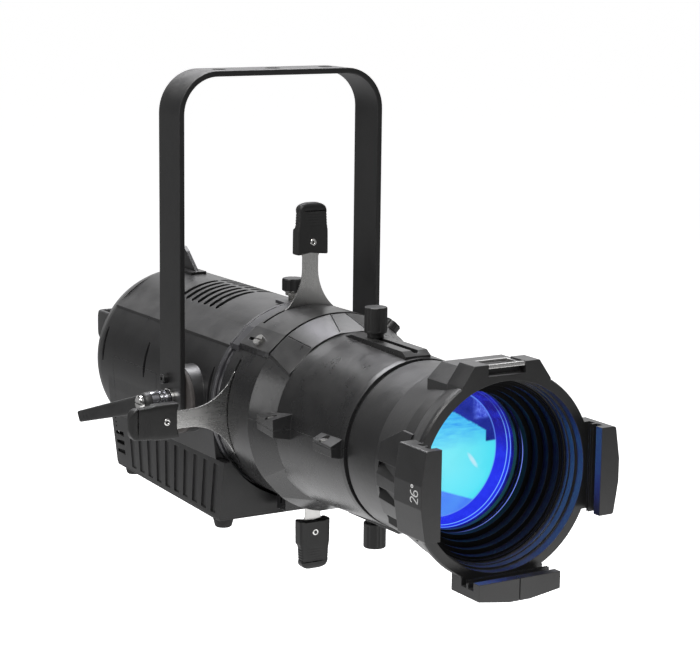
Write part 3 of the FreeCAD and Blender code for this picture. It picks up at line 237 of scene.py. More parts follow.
def plastic(name, base, rough, grain=0.35, scale=1500.0, wear=0.12, tint=(1, 1, 1), spec=0.5):
    """Moulded plastic: spark-eroded grain, flow marks, polished high spots."""
    mat = Tree(name)
    rounded, edge, _ = mat.edges(0.0006)
    flow = mat.noise(26.0, detail=4, rough=0.6, vector=mat.stretch((1, 1, 0.35)), distort=0.6)
    tone = mat.mix(mat.span(flow, 0.32, 0.7), tinted(base * 0.82, tint), tinted(base * 1.22, tint))
    rub = mat.mul(edge, mat.span(mat.noise(90.0, detail=4), 0.4, 0.65))
    tone = mat.mix(mat.mul(rub, wear), tone, (0.22, 0.22, 0.22))
    gloss = mat.add(rough - 0.05, mat.mul(mat.noise(60.0, detail=3), 0.12))
    gloss = mat.sub(gloss, mat.mul(rub, 0.12), clamp=True)
    cells = mat.cells(scale)
    height = mat.add(cells, mat.mul(mat.noise(scale * 0.5), 0.6))
    return mat.bsdf(Base_Color=tone, Roughness=gloss,
                    Normal=mat.bump(height, strength=grain, distance=0.00012, normal=rounded),
                    Specular_IOR_Level=spec)


def brushed(name, base, rough, along, scale, strength=0.18, tint=(1.0, 0.995, 0.98), marks=0.2):
    """Rolled and brushed metal: long fine lines, faint cloudy oxide, fingertip marks.
    The lines run along the axis whose number in `along` is smallest."""
    mat = Tree(name)
    fine = mat.stretch(tuple(scale * part for part in along))
    lines = mat.noise(1.0, detail=3, rough=0.7, vector=fine)
    coarse = mat.stretch(tuple(scale * 0.18 * part for part in along))
    broad = mat.noise(1.0, detail=2, rough=0.6, vector=coarse)
    oxide = mat.noise(22.0, detail=5, rough=0.65)
    tone = mat.mix(mat.span(lines, 0.3, 0.7),
                   tinted(base * 0.90, tint), tinted(min(1.0, base * 1.07), tint))
    tone = mat.mix(mat.span(oxide, 0.45, 0.75, to=(0, marks)), tone, tinted(base * 0.70, tint))
    gloss = mat.add(rough - 0.08, mat.mul(lines, 0.16))
    gloss = mat.add(gloss, mat.span(oxide, 0.45, 0.75, to=(0, 0.10)), clamp=True)
    height = mat.add(lines, mat.mul(broad, 0.6))
    rounded = mat.node("Bevel", {"Radius": 0.0003}, samples=4).outputs[0]
    return mat.bsdf(Base_Color=tone, Metallic=1.0, Roughness=gloss,
                    Normal=mat.bump(height, strength=strength, distance=0.00006, normal=rounded))


def rubber(name):
    """Dark rubber with a pale bloom."""
    mat = Tree(name)
    rounded, _, _ = mat.edges(0.0006)
    bloom = mat.noise(55.0, detail=5, rough=0.7)
    tone = mat.mix(mat.span(bloom, 0.4, 0.75, to=(0, 0.5)), grey(0.018), (0.055, 0.053, 0.05))
    normal = mat.bump(mat.noise(1100.0, detail=3, rough=0.7),
                      strength=0.4, distance=0.00015, normal=rounded)
    return mat.bsdf(Base_Color=tone, Roughness=mat.span(bloom, 0.2, 0.8, to=(0.62, 0.85)),
                    Normal=normal, Specular_IOR_Level=0.35)


def liner(name):
    """Pressed fibre friction lining: brown-grey, flecked, scuffed in rings round the tilt axis."""
    mat = Tree(name)
    rounded, edge, _ = mat.edges(0.0006)
    fleck = mat.cells(900.0)
    fibre = mat.noise(1.0, detail=4, rough=0.7, vector=mat.stretch((500, 1400, 300)))
    _, y, z = mat.axis_place()
    rings = mat.wave(mat.hypot(y, z), 5200.0)
    tone = mat.mix(mat.span(fleck, 0.05, 0.5), (0.030, 0.026, 0.025), (0.058, 0.052, 0.050))
    tone = mat.mix(mat.span(fibre, 0.55, 0.75, to=(0, 0.6)), tone, (0.16, 0.145, 0.13))
    tone = mat.mix(mat.span(rings, 0.2, 1.0, to=(0, 0.22)), tone, (0.035, 0.032, 0.032))
    tone = mat.mix(mat.mul(edge, 0.4), tone, (0.20, 0.19, 0.18))
    height = mat.add(fibre, mat.mul(rings, 0.25))
    return mat.bsdf(Base_Color=tone, Roughness=mat.span(fibre, 0.3, 0.7, to=(0.55, 0.8)),
                    Normal=mat.bump(height, strength=0.4, distance=0.0002, normal=rounded),
                    Specular_IOR_Level=0.4)


def board(name):
    """Green solder resist with broken tracks in bands across X."""
    mat = Tree(name)
    x = mat.place()[0]
    tracks = mat.mul(mat.span(mat.wave(x, 2100.0), 0.75, 0.8),
                     mat.span(mat.noise(90.0, detail=1), 0.45, 0.5))
    tone = mat.mix(mat.span(mat.noise(60.0, detail=3), 0.3, 0.7),
                   (0.012, 0.075, 0.03), (0.02, 0.12, 0.045))
    tone = mat.mix(tracks, tone, (0.05, 0.24, 0.08))
    return mat.bsdf(Base_Color=tone,
                    Roughness=mat.span(mat.noise(200.0), 0.3, 0.7, to=(0.28, 0.4)),
                    Normal=mat.bump(tracks, strength=0.4, distance=0.0002),
                    Specular_IOR_Level=0.5)


def glass(name):
    """Coated glass: clear, with a tinted sheen that grows at grazing angles, and smears."""
    tint = (0.75, 0.86, 1.0)
    mat = Tree(name)
    smear = mat.noise(14.0, detail=5, rough=0.7, distort=0.8)
    facing = mat.node("LayerWeight", {"Blend": 0.22}).outputs["Facing"]
    sheen = mat.add(mat.span(facing, 0.0, 1.0, to=(0.07, 0.35)),
                    mat.span(smear, 0.5, 0.8, to=(0, 0.03)), clamp=True)
    clear = mat.node("BsdfTransparent", {"Color": rgba(tuple(0.5 + 0.5 * k for k in tint))})
    gloss = mat.node("BsdfPrincipled")
    mat.put(gloss.inputs["Base Color"],
            mat.mix(mat.span(smear, 0.4, 0.8), tinted(0.10, tint), (0.06, 0.06, 0.08)))
    mat.put(gloss.inputs["Roughness"], mat.span(smear, 0.4, 0.8, to=(0.03, 0.13)))
    mat.put(gloss.inputs["Specular IOR Level"], 0.9)
    return mat.blend(sheen, clear, gloss)


def display(name):
    """Smoked window with the faint segments of an unlit display behind it."""
    mat = Tree(name)
    x, _, z = mat.place()
    segments = mat.mul(mat.span(mat.wave(x, 1500.0), 0.3, 0.5),
                       mat.span(mat.wave(z, 1100.0), -0.2, 0.0))
    tone = mat.mix(mat.mul(segments, 0.5), (0.008, 0.014, 0.02), (0.02, 0.06, 0.085))
    return mat.bsdf(Base_Color=tone,
                    Roughness=mat.span(mat.noise(40.0, detail=4), 0.3, 0.8, to=(0.05, 0.16)),
                    Coat_Weight=0.6,
                    Normal=mat.bump(mat.noise(300.0), strength=0.02, distance=0.0002))


def inner(name):
    """Anti-flare black inside the lens tube, with fine threads round the beam."""
    thread_pitch = 0.0011
    mat = Tree(name)
    rounded, edge, _ = mat.edges(0.0004)
    y = mat.place()[1]
    thread = mat.wave(y, 2 * math.pi / thread_pitch)
    cloud = mat.noise(30.0, detail=4, rough=0.6)
    tone = mat.mix(mat.span(cloud, 0.3, 0.7), grey(0.0032, 1.15), grey(0.006, 1.2))
    tone = mat.mix(mat.mul(edge, 0.3), tone, (0.08, 0.085, 0.10))
    normal = mat.bump(mat.add(mat.mul(thread, 0.35), mat.noise(700.0)),
                      strength=0.35, distance=0.00022, normal=rounded)
    return mat.bsdf(Base_Color=tone, Roughness=mat.span(cloud, 0.2, 0.8, to=(0.5, 0.66)),
                    Normal=normal, Specular_IOR_Level=0.13)


def lever_material(name):
    """Black moulding with a polished sleeve round the tilt axis, broken by one black ring."""
    mat = Tree(name)
    rounded, edge, _ = mat.edges(0.0006)
    x, y, z = mat.axis_place()
    radius = mat.hypot(y, z)
    sleeve = mat.mul(mat.more(x, -0.1232), mat.less(radius, 0.00985))
    ring = mat.mul(mat.less(x, -0.1150), mat.more(x, -0.1166))
    sleeve = mat.mul(sleeve, mat.sub(1.0, ring))
    smear = mat.noise(120.0, detail=4, rough=0.6)
    black = mat.mix(mat.span(smear, 0.35, 0.7), grey(0.010), grey(0.017))
    black = mat.mix(mat.mul(edge, 0.10), black, grey(0.22))
    steel = mat.mix(mat.span(smear, 0.4, 0.8), (0.50, 0.50, 0.53), (0.34, 0.34, 0.37))
    gloss = mat.add(mat.mul(sleeve, -0.30), mat.add(0.40, mat.mul(smear, 0.10)), clamp=True)
    height = mat.mul(mat.noise(1400.0), mat.sub(1.0, sleeve))
    return mat.bsdf(Base_Color=mat.mix(sleeve, black, steel), Metallic=sleeve, Roughness=gloss,
                    Normal=mat.bump(height, strength=0.3, distance=0.0001, normal=rounded))


def knob_material(name):
    """Moulded head on a bright threaded stud."""
    mat = Tree(name)
    rounded, edge, _ = mat.edges(0.0005)
    z = mat.axis_place()[2]
    stud = mat.less(z, 0.0962)
    grain = mat.noise(90.0, detail=4, rough=0.6)
    thread = mat.wave(z, 6283.0)
    black = mat.mix(mat.span(grain, 0.3, 0.7), grey(0.009), grey(0.016))
    black = mat.mix(mat.mul(edge, 0.12), black, grey(0.22))
    steel = mat.mix(mat.span(grain, 0.35, 0.7), (0.62, 0.61, 0.58), (0.46, 0.45, 0.43))
    height = mat.add(mat.mul(thread, stud), mat.mul(mat.noise(1300.0), 0.4))
    gloss = mat.add(mat.mul(stud, -0.22), mat.add(0.40, mat.mul(grain, 0.10)), clamp=True)
    return mat.bsdf(Base_Color=mat.mix(stud, black, steel), Metallic=stud, Roughness=gloss,
                    Normal=mat.bump(height, strength=0.35, distance=0.00012, normal=rounded))


MAT = {
    "yoke_paint": paint("yoke_powder_coat", 0.011, rough=0.38, grain=0.22, grain_scale=800,
                        wear=0.35, dust=0.30),
    "housing_paint": paint("housing_powder_coat", 0.016, rough=0.30, grain=0.20, grain_scale=620,
                           wear=0.35, dust=0.12, peel=0.5),
    "barrel_paint": paint("barrel_powder_coat", 0.017, rough=0.27, grain=0.16, grain_scale=620,
                          wear=0.36, dust=0.14, peel=0.5),
    # front ring: its strong pale edge tone is partly worn paint, partly a painted highlight along its
    # edges
    "ring_paint": paint("ring_powder_coat", 0.034, rough=0.30, grain=0.20, wear=0.9, dust=0.10,
                        edge_wear_and_highlight_tone=(0.42, 0.41, 0.42), edge_radius=0.0011, blue=1.12),
    "base_paint": paint("base_powder_coat", 0.012, rough=0.42, grain=0.30, grain_scale=520,
                        wear=0.32, dust=0.08),
    "black_plastic": plastic("moulded_black", 0.012, rough=0.40),
    "gloss_black": plastic("gloss_black", 0.009, rough=0.17, grain=0.10, scale=900, wear=0.05,
                           spec=0.6),
    "grey_plastic": plastic("moulded_grey", 0.036, rough=0.50, grain=0.30, wear=0.25,
                            tint=(1.0, 1.0, 1.02)),
    "friction_liner": liner("friction_liner"),
    "stainless": brushed("blade_polish", 0.60, rough=0.27, along=(1, 1, 0.012), scale=3400,
                         strength=0.014, marks=0.07),
    "bright_steel": brushed("bright_plate", 0.78, rough=0.13, along=(1, 1, 1), scale=500,
                            strength=0.05, marks=0.12),
    "black_steel": paint("black_oxide", 0.008, rough=0.30, grain=0.10, grain_scale=1500,
                         wear=0.5, dust=0.05, spec=0.6),
    "zinc": brushed("dull_zinc", 0.40, rough=0.42, along=(1, 1, 1), scale=420, strength=0.25,
                    tint=(1.0, 0.985, 0.95), marks=0.6),
    "lens_glass": glass("coated_glass"),
    "display_glass": display("display_window"),
    "heat_sink_alu": brushed("extruded_aluminium", 0.55, rough=0.38, along=(1, 0.02, 1),
                             scale=900),
    "psu_case": brushed("folded_sheet", 0.50, rough=0.40, along=(0.05, 1, 1), scale=600),
    "circuit_board": board("solder_resist"),
    "connector_plastic": plastic("connector_blue", 0.10, rough=0.42, tint=(0.35, 0.7, 1.9)),
    "rubber": rubber("foot_rubber"),
    "inner_black": inner("anti_flare_black"),
    "lens_head": paint("lens_head_coat", 0.014, rough=0.33, grain=0.24, grain_scale=560,
                       wear=0.30, dust=0.10, peel=0.6),
    "tube_moulding": paint("tube_moulding_black", 0.016, rough=0.32, grain=0.30,
                           grain_scale=900, wear=0.22, dust=0.08, peel=0.2),
    "lever": lever_material("lever_black_and_chrome"),
    "lock_knob": knob_material("knob_on_bright_stud"),
    "grip": plastic("grip_moulding", 0.011, rough=0.44, grain=0.45, scale=1250, wear=0.10),
    # side blades: the same steel, brushed along their length; their lighter base, 0.66 against 0.60, is
    # painted light on them
    "blade_flat": brushed("blade_polish_across_painted_lighter", 0.66, rough=0.24, along=(0.012, 1, 1),
                          scale=3400, strength=0.014, marks=0.06),
}


def dress(node, key):
    materials = NODES[node].data.materials
    materials.clear()
    materials.append(MAT[key])


# The record may lack its list of subparts: every piece then wears the housing paint.
SLOT = {part["node"]: part["material_slot"] for part in frame["record"].get("subparts", ())}
for node_name in NODES:
    dress(node_name, SLOT.get(node_name, "housing_paint"))
dress("lens_tube", "lens_head")
dress("rotation_lock_knob", "lock_knob")
dress("shutter_left_blade", "blade_flat")
dress("shutter_right_blade", "blade_flat")


# ------------------------------------------------------------------ mesh helpers
class Shell:
    """Gathers closed surfaces, in millimetres, for one piece."""

    def __init__(self):
        self.verts, self.faces = [], []

    def rings(self, rings):
        """Skins a run of equal rings and closes both ends with a fan."""
        count = len(rings[0])
        base = len(self.verts)
        for ring in rings:
            self.verts.extend(ring)
        for i in range(len(rings) - 1):
            low = base + i * count
            for j in range(count):
                k = (j + 1) % count
                self.faces.append((low + j, low + k, low + count + k, low + count + j))
        for i, flip in ((0, True), (len(rings) - 1, False)):
            hub = len(self.verts)
            self.verts.append(tuple(sum(p[axis] for p in rings[i]) / count for axis in range(3)))
            for j in range(count):
                first = base + i * count + j
                second = base + i * count + (j + 1) % count
                self.faces.append((first, hub, second) if flip else (first, second, hub))
        return self

    def lathe(self, profile, place, segments):
        """Turns (radius, height) rows from axis to axis; place(angle, r, h) gives a point."""
        angles = [2 * math.pi * j / segments for j in range(segments)]
        return self.rings([[place(angle, r, h) for angle in angles] for r, h in profile])

    def torus(self, profile, place, segments):
        """Turns a closed outline of (radius, height)."""
        base, count = len(self.verts), len(profile)
        for j in range(segments):
            angle = 2 * math.pi * j / segments
            self.verts.extend(place(angle, r, h) for r, h in profile)
        for j in range(segments):
            here = base + j * count
            there = base + (j + 1) % segments * count
            for i in range(count):
                k = (i + 1) % count
                self.faces.append((here + i, here + k, there + k, there + i))
        return self


def add_piece(name, shell, material, rides, replaces=None, smooth=True, sharp=34):
    """Makes the object, with edges over `sharp` degrees kept crisp, hangs it on its body and hides the
    part it replaces.
    """
    mesh = bpy.data.meshes.new(name)
    mesh.from_pydata([world_point(*vert) for vert in shell.verts], [], shell.faces)
    bm = bmesh.new()
    bm.from_mesh(mesh)
    bmesh.ops.remove_doubles(bm, verts=bm.verts, dist=1e-7)
    bmesh.ops.recalc_face_normals(bm, faces=bm.faces)
    for face in bm.faces:
        face.smooth = smooth
    if smooth:
        limit = math.radians(sharp)
        for edge in bm.edges:
            if len(edge.link_faces) == 2 and edge.calc_face_angle(0.0) > limit:
                edge.smooth = False
    bm.to_mesh(mesh)
    bm.free()
    mesh.materials.append(material)
    piece = bpy.data.objects.new(name, mesh)
    bpy.context.scene.collection.objects.link(piece)
    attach(piece, rides)
    if replaces:
        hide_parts(replaces)


def oval(half_width, half_depth, count, power):
    """Superellipse outline; a higher power is squarer."""
    points = []
    for j in range(count):
        angle = 2 * math.pi * (j + 0.5) / count
        across, out = math.cos(angle), math.sin(angle)
        reach = (abs(across) ** power + abs(out) ** power) ** (-1.0 / power)
        points.append((half_width * across * reach, half_depth * out * reach))
    return points


def along_x(angle, radius, height):
    return (height, radius * math.cos(angle), radius * math.sin(angle))


def along_y(angle, radius, height):
    return (radius * math.cos(angle), height, radius * math.sin(angle))


def lerp(table, at):
    if at <= table[0][0]:
        return table[0][1]
    for (x0, y0), (x1, y1) in zip(table, table[1:]):
        if at <= x1:
            return y0 + (y1 - y0) * ((at - x0) / (x1 - x0))
    return table[-1][1]


# ------------------------------------------------------------------ shutter grips and their rivets
# Each grip is drawn as for the top shutter, then turned about the optical axis.
# name: (y of the blade, turn in degrees, how far it is pushed in)
SHUTTERS = {
    "top": (-68.0, 0.0, 0.0),
    "left": (-72.0, -90.0, 0.0),
    "bottom": (-76.0, 180.0, 29.0),
    "right": (-80.0, 90.0, 0.0),
}
# (z, half width)
GRIP_WIDTH = [
    (132.6, 14.9), (133.4, 15.35), (150, 15.2), (154.4, 15.05), (155.4, 14.5), (165, 13.95),
    (170.4, 13.6), (171.6, 13.5), (173.2, 13.0), (174.8, 11.9), (176.2, 10.0), (177.2, 7.6),
    (177.8, 5.2), (178.0, 3.2)]
# (z, depth from the blade), towards the lens and towards the rear
GRIP_FRONT = [
    (132.6, 5.1), (133.4, 5.6), (173.6, 5.6), (175.4, 5.3), (176.8, 4.4), (177.7, 3.0),
    (178.0, 1.8)]
GRIP_BACK = [
    (132.6, 5.1), (133.4, 5.6), (153.8, 5.6), (154.8, 5.1), (155.7, 3.2), (156.6, 2.8),
    (170.2, 2.8), (171.2, 3.5), (173.6, 3.8), (175.4, 3.5), (176.8, 2.6), (177.7, 1.4),
    (178.0, 0.4)]
# heights of the rings below and above the ribs
GRIP_LOW = [132.6, 132.9, 133.4, 134.4, 136, 139, 143.5, 148, 151, 153.2, 154.2, 154.9, 155.5,
            156.2, 156.9]
GRIP_HIGH = [170.2, 170.8, 171.6, 172.6, 173.6, 174.6, 175.5, 176.3, 177.0, 177.5, 177.8, 178.0]
RIB_START, RIB_END, RIB_PITCH = 157.4, 170.0, 2.4
RIB_SIDE, RIB_FACE = 0.55, 0.16  # depth of the grooves in the sides and in the front face
MOUTH_TOP = 134.4  # the middle of the lower end is cut back to here
MOUTH_HALF = 12.2
RIVET_Z = 143.5
# (radius, y from the blade)
RIVET = [
    (1.25, -5.6), (1.5, -5.95), (2.2, -6.15), (2.9, -5.9), (3.15, -5.5), (3.15, -5.1),
    (2.0, -4.9), (2.0, 4.9), (3.15, 5.1), (3.15, 5.5), (2.9, 5.9), (2.2, 6.15), (1.5, 5.95),
    (1.25, 5.6), (1.2, 4.4), (1.2, -4.4)]
RIVET_PLUG = [(0.01, -1.0), (1.19, -1.0), (1.19, 1.0), (0.01, 1.0)]


def grip_ring(z, put):
    half = lerp(GRIP_WIDTH, z)
    front, rear = lerp(GRIP_FRONT, z), lerp(GRIP_BACK, z)
    dip = 0.0
    if RIB_START <= z <= RIB_END:
        phase = ((z - RIB_START) / RIB_PITCH) % 1.0
        dip = 0.5 - 0.5 * math.cos(2 * math.pi * phase)
    ring = []
    for x, y in oval(half, (front + rear) / 2, 88, 9.0):
        side = max(0.0, (abs(x) / half - 0.80) / 0.20)
        in_x = x - math.copysign(RIB_SIDE * dip * side, x)
        face = RIB_FACE * dip * max(0.0, 1.0 - abs(x) / (half * 0.86)) if y < 0 else 0.0
        up_z = z
        if z < MOUTH_TOP - 0.1:
            # the mouth of the moulding is cut back where the blade enters
            cut = min(1.0, max(0.0, (MOUTH_HALF - abs(x)) / 1.2))
            up_z = z + cut * (MOUTH_TOP - z)
        ring.append(put(in_x, (rear - front) / 2 + y + face, up_z))
    return ring


def make_grip(side):
    blade_y, turn, pushed = SHUTTERS[side]
    cos, sin = math.cos(math.radians(turn)), math.sin(math.radians(turn))

    def put(x, y, z):
        z = z - pushed
        return (x * cos + z * sin, blade_y + y, -x * sin + z * cos)

    def round_rivet(angle, radius, height):
        return put(radius * math.cos(angle), height, RIVET_Z + radius * math.sin(angle))

    stations = list(GRIP_LOW)
    z = RIB_START
    while z < RIB_END:
        stations += [z + i * RIB_PITCH / 4 for i in range(4)]
        z += RIB_PITCH
    stations += GRIP_HIGH
    shell = Shell().rings([grip_ring(z, put) for z in stations])
    add_piece("grip_%s" % side, shell, MAT["grip"], "shutter_%s" % side,
              replaces="shutter_%s_grip" % side)
    # tubular rivet through the moulding and the blade, with its bore plugged
    rivet = Shell().torus(RIVET, round_rivet, 40).lathe(RIVET_PLUG, round_rivet, 24)
    add_piece("rivet_%s" % side, rivet, MAT["bright_steel"], "shutter_%s" % side,
              sharp=60)


for shutter in SHUTTERS:
    make_grip(shutter)


# ------------------------------------------------------------------ tilt lever
# (radius round the tilt axis, x)
LEVER_HUB = [
    (5.3, -105.4), (8.6, -105.4), (9.4, -105.9), (9.6, -107.0), (9.6, -109.4), (8.7, -109.9),
    (8.7, -110.9), (9.6, -111.4), (9.6, -113.8), (8.7, -114.3), (8.7, -115.3), (9.5, -115.8),
    (9.6, -118.4), (9.4, -123.5), (9.0, -126.8), (8.2, -129.0), (6.9, -130.1), (5.3, -130.4)]
ARM_START, ARM_END = Vector((-119.0, 6.5, -1.6)), Vector((-160.0, 66.0, -22.0))
# (share of the arm's length, half size), upright and sideways
ARM_WIDTH = [(0.0, 8.3), (0.5, 6.7), (0.93, 5.25), (0.985, 5.1), (1.0, 4.6)]
ARM_DEPTH = [(0.0, 4.6), (0.12, 4.2), (0.35, 3.3), (0.7, 2.8), (0.95, 2.5), (1.0, 2.0)]
ARM_RIB_START, ARM_RIB_END, ARM_RIB_PITCH, ARM_RIB_DEPTH = 0.845, 0.98, 0.045, 0.35


def make_lever():
    shell = Shell().torus(LEVER_HUB, along_x, 56)
    # arm: from the hub out and back, tapering, with a ribbed thumb end
    run = (ARM_END - ARM_START).normalized()
    side = Vector((0, 0, 1)).cross(run).normalized()
    upright = run.cross(side).normalized()
    length = (ARM_END - ARM_START).length
    shares = [i / 26.0 for i in range(20)] + [0.745 + 0.009 * i for i in range(27)]
    rings = []
    for share in shares + [0.985, 0.993, 1.0]:
        width, depth = lerp(ARM_WIDTH, share), lerp(ARM_DEPTH, share)
        rib = 0.0
        if ARM_RIB_START <= share <= ARM_RIB_END:
            phase = 2 * math.pi * (share - ARM_RIB_START) / ARM_RIB_PITCH
            rib = ARM_RIB_DEPTH * (0.5 - 0.5 * math.cos(phase))
        middle = ARM_START + run * (length * share)
        ring = []
        for x, y in oval(width, depth, 56, 7.0):
            flat = min(1.0, abs(y) / max(depth * 0.6, 0.1))
            dip = math.copysign(rib, y) * flat * max(0.0, 1.0 - abs(x) / (width * 0.7))
            ring.append(tuple(middle + upright * x + side * (y - dip)))
        rings.append(ring)
    add_piece("lever_moulding", shell.rings(rings), MAT["lever"], "tilt_lever",
              replaces="tilt_lever")


make_lever()


# ------------------------------------------------------------------ rear handle
STRAP_HALF = 3.0  # half the strap's thickness
STRAP_BEND = 13.0
BEND_STEPS = 12


def make_handle():
    """U-shaped strap in plan, filling the box of the CAD handle and open towards the front."""
    low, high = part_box("rear_handle")
    y_open = low.y / MM + 0.05
    y_back = high.y / MM - STRAP_HALF
    x_side = high.x / MM - STRAP_HALF
    z_low, z_high = low.z / MM - AXIS_Z, high.z / MM - AXIS_Z
    z_mid, z_half = (z_low + z_high) / 2, (z_high - z_low) / 2
    x_bend, y_bend = x_side - STRAP_BEND, y_back - STRAP_BEND

    def bend(sign, start):
        angles = [start - math.pi / 2 * i / BEND_STEPS for i in range(1, BEND_STEPS)]
        return [(sign * x_bend + STRAP_BEND * math.cos(angle),
                 y_bend + STRAP_BEND * math.sin(angle)) for angle in angles]

    path = [(-x_side, y_open), (-x_side, y_bend)] + bend(-1, math.pi)
    path += [(-x_bend + 2 * x_bend * i / 12.0, y_back) for i in range(13)]
    path += bend(1, math.pi / 2) + [(x_side, y_bend), (x_side, y_open)]
    last = len(path) - 1
    rings = []
    for i, (x, y) in enumerate(path):
        before, after = path[max(0, i - 1)], path[min(last, i + 1)]
        dx, dy = after[0] - before[0], after[1] - before[1]
        step = math.hypot(dx, dy)
        off_middle = abs(2.0 * i / last - 1.0)
        # the strap is shallowest at its middle
        half = z_half * (0.86 + 0.14 * off_middle ** 2)
        rings.append([(x - dy / step * out, y + dx / step * out, z_mid + rise)
                      for out, rise in oval(STRAP_HALF, half, 40, 4.0)])
    add_piece("handle_strap", Shell().rings(rings), MAT["grey_plastic"], "housing",
              replaces="rear_handle")


make_handle()


# ------------------------------------------------------------------ black sheets behind the base louvres, painted shade for the dark inside
SHADE_SHEET_X, SHADE_SHEET_Y, SHADE_SHEET_Z = 71.5, 146.0, -70.0
SHADE_SHEET_PITCH = 1.6  # from one of the two sheets to the next
SHADE_SHEET_HALF_Y, SHADE_SHEET_HALF_Z = 20.5, 15.5


def make_shade_sheets(name, sign):
    shell = Shell()
    for sheet in range(2):
        start = sign * (SHADE_SHEET_X + SHADE_SHEET_PITCH * sheet)
        rings = []
        # (depth into the sheet, inset of its outline, height of its ripple)
        for depth, inset, ripple in ((0.0, 0.5, 0.0), (0.25, 0.0, 0.10),
                                     (1.15, 0.0, 0.10), (1.4, 0.5, 0.0)):
            outline = oval(SHADE_SHEET_HALF_Y - inset, SHADE_SHEET_HALF_Z - inset, 48, 12.0)
            rings.append([(start + sign * (depth + ripple * math.sin(y * 1.9)),
                           SHADE_SHEET_Y + y, SHADE_SHEET_Z + z) for y, z in outline])
        shell.rings(rings)
    add_piece(name, shell, MAT["inner_black"], "housing")


# black sheets that stand in for the shade inside the vents
make_shade_sheets("vent_shade_sheet_left", -1)
make_shade_sheets("vent_shade_sheet_right", 1)


# ------------------------------------------------------------------ beam angle mark on the left clip
# "26" and a degree ring, lying in the YZ plane: (z, y) from the mark's corner
TWO = [(0.3, 7.8), (0.8, 9.2), (2.0, 10.0), (3.4, 9.5), (4.1, 8.2), (3.8, 6.5), (2.4, 4.0),
       (0.3, 0.3)]
TWO_FOOT = [(0.1, 0.1), (1.6, 0.1), (3.0, 0.1), (4.5, 0.1)]
SIX = [(9.2, 9.6), (8.0, 9.8), (6.7, 8.7), (5.8, 6.6), (5.5, 4.2), (5.7, 2.0), (6.4, 0.6),
       (7.7, 0.1), (9.0, 0.6), (9.7, 2.2), (9.5, 4.0), (8.5, 5.2), (7.1, 5.2), (5.9, 4.1)]
DEGREE = [(12.3 + 0.95 * math.cos(i * math.pi / 6), 8.0 + 1.35 * math.sin(i * math.pi / 6))
          for i in range(12)]
MARK_Y, MARK_Z = -384.3, -5.3
MARK_INNER_X, MARK_OUTER_X = -91.58, -91.70
STROKE_HALF = 0.46


def print_material(name):
    """Pad-printed white ink, slightly worn and uneven."""
    mat = Tree(name)
    worn = mat.noise(420.0, detail=4, rough=0.65)
    cloud = mat.noise(90.0, detail=3)
    tone = mat.mix(mat.span(cloud, 0.3, 0.7), grey(0.52, 1.0), grey(0.66, 1.0))
    tone = mat.mix(mat.span(worn, 0.60, 0.74, to=(0, 0.55)), tone, grey(0.10, 1.0))
    return mat.bsdf(Base_Color=tone, Roughness=mat.span(worn, 0.3, 0.7, to=(0.42, 0.60)),
                    Normal=mat.bump(worn, strength=0.2, distance=0.00005),
                    Specular_IOR_Level=0.4)


def smooth_path(points, closed=False, steps=4):
    """Catmull-Rom curve through the points."""
    path = []
    count = len(points)
    for i in range(count if closed else count - 1):
        near = [points[(i + d) % count if closed else min(max(i + d, 0), count - 1)]
                for d in (-1, 0, 1, 2)]
        for j in range(steps):
            u = j / steps
            path.append(tuple(
                0.5 * (2 * p1 + (p2 - p0) * u + (2 * p0 - 5 * p1 + 4 * p2 - p3) * u * u
                       + (3 * p1 - p0 - 3 * p2 + p3) * u ** 3)
                for p0, p1, p2, p3 in zip(*near)))
    return path if closed else path + [points[-1]]


def add_stroke(shell, points, closed):
    """A ribbon of square section along the points."""
    count, base = len(points), len(shell.verts)
    for i, (z, y) in enumerate(points):
        before = points[(i - 1) % count if closed else max(i - 1, 0)]
        after = points[(i + 1) % count if closed else min(i + 1, count - 1)]
        dz, dy = after[0] - before[0], after[1] - before[1]
        step = math.hypot(dz, dy)
        off_z, off_y = -dy / step * STROKE_HALF, dz / step * STROKE_HALF
        for x, sign in ((MARK_INNER_X, 1), (MARK_INNER_X, -1),
                        (MARK_OUTER_X, -1), (MARK_OUTER_X, 1)):
            shell.verts.append((x, MARK_Y + y + sign * off_y, MARK_Z + z + sign * off_z))
    for i in range(count if closed else count - 1):
        here, there = base + 4 * i, base + 4 * ((i + 1) % count)
        for j in range(4):
            k = (j + 1) % 4
            shell.faces.append((here + j, here + k, there + k, there + j))
    if not closed:
        end = base + 4 * count
        shell.faces += [(base, base + 1, base + 2, base + 3), (end - 1, end - 2, end - 3, end - 4)]


def make_mark():
    ink = print_material("pad_print_white")
    shell = Shell()
    add_stroke(shell, smooth_path(TWO), closed=False)
    add_stroke(shell, TWO_FOOT, closed=False)
    add_stroke(shell, smooth_path(SIX), closed=False)
    add_stroke(shell, smooth_path(DEGREE, closed=True, steps=2), closed=True)
    add_piece("beam_angle_mark", shell, ink, "lens_tube", smooth=False)


make_mark()

# ------------------------------------------------------------------ front lens
LENS_FRONT, LENS_REAR = -320.6, -302.2  # y on the axis; the rear is flat
LENS_RIM_R, LENS_RIM_FRONT = 60.0, -309.0
LENS_CLEAR_R = 57.0
LENS_STEPS = 22
RIM_BEVEL = 0.5


def make_lens():
    sag = LENS_RIM_FRONT - LENS_FRONT
    curve = (LENS_CLEAR_R ** 2 + sag ** 2) / (2 * sag)
    profile = []
    for i in range(LENS_STEPS + 1):
        r = LENS_CLEAR_R * i / LENS_STEPS
        profile.append((max(r, 0.02), LENS_FRONT + curve - math.sqrt(curve * curve - r * r)))
    profile += [
        (LENS_RIM_R - RIM_BEVEL, LENS_RIM_FRONT), (LENS_RIM_R, LENS_RIM_FRONT + RIM_BEVEL),
        (LENS_RIM_R, LENS_REAR - RIM_BEVEL), (LENS_RIM_R - RIM_BEVEL, LENS_REAR),
        (LENS_CLEAR_R, LENS_REAR), (0.02, LENS_REAR)]
    add_piece("front_lens_glass", Shell().lathe(profile, along_y, 96), MAT["lens_glass"],
              "lens_tube", replaces="front_lens")


make_lens()


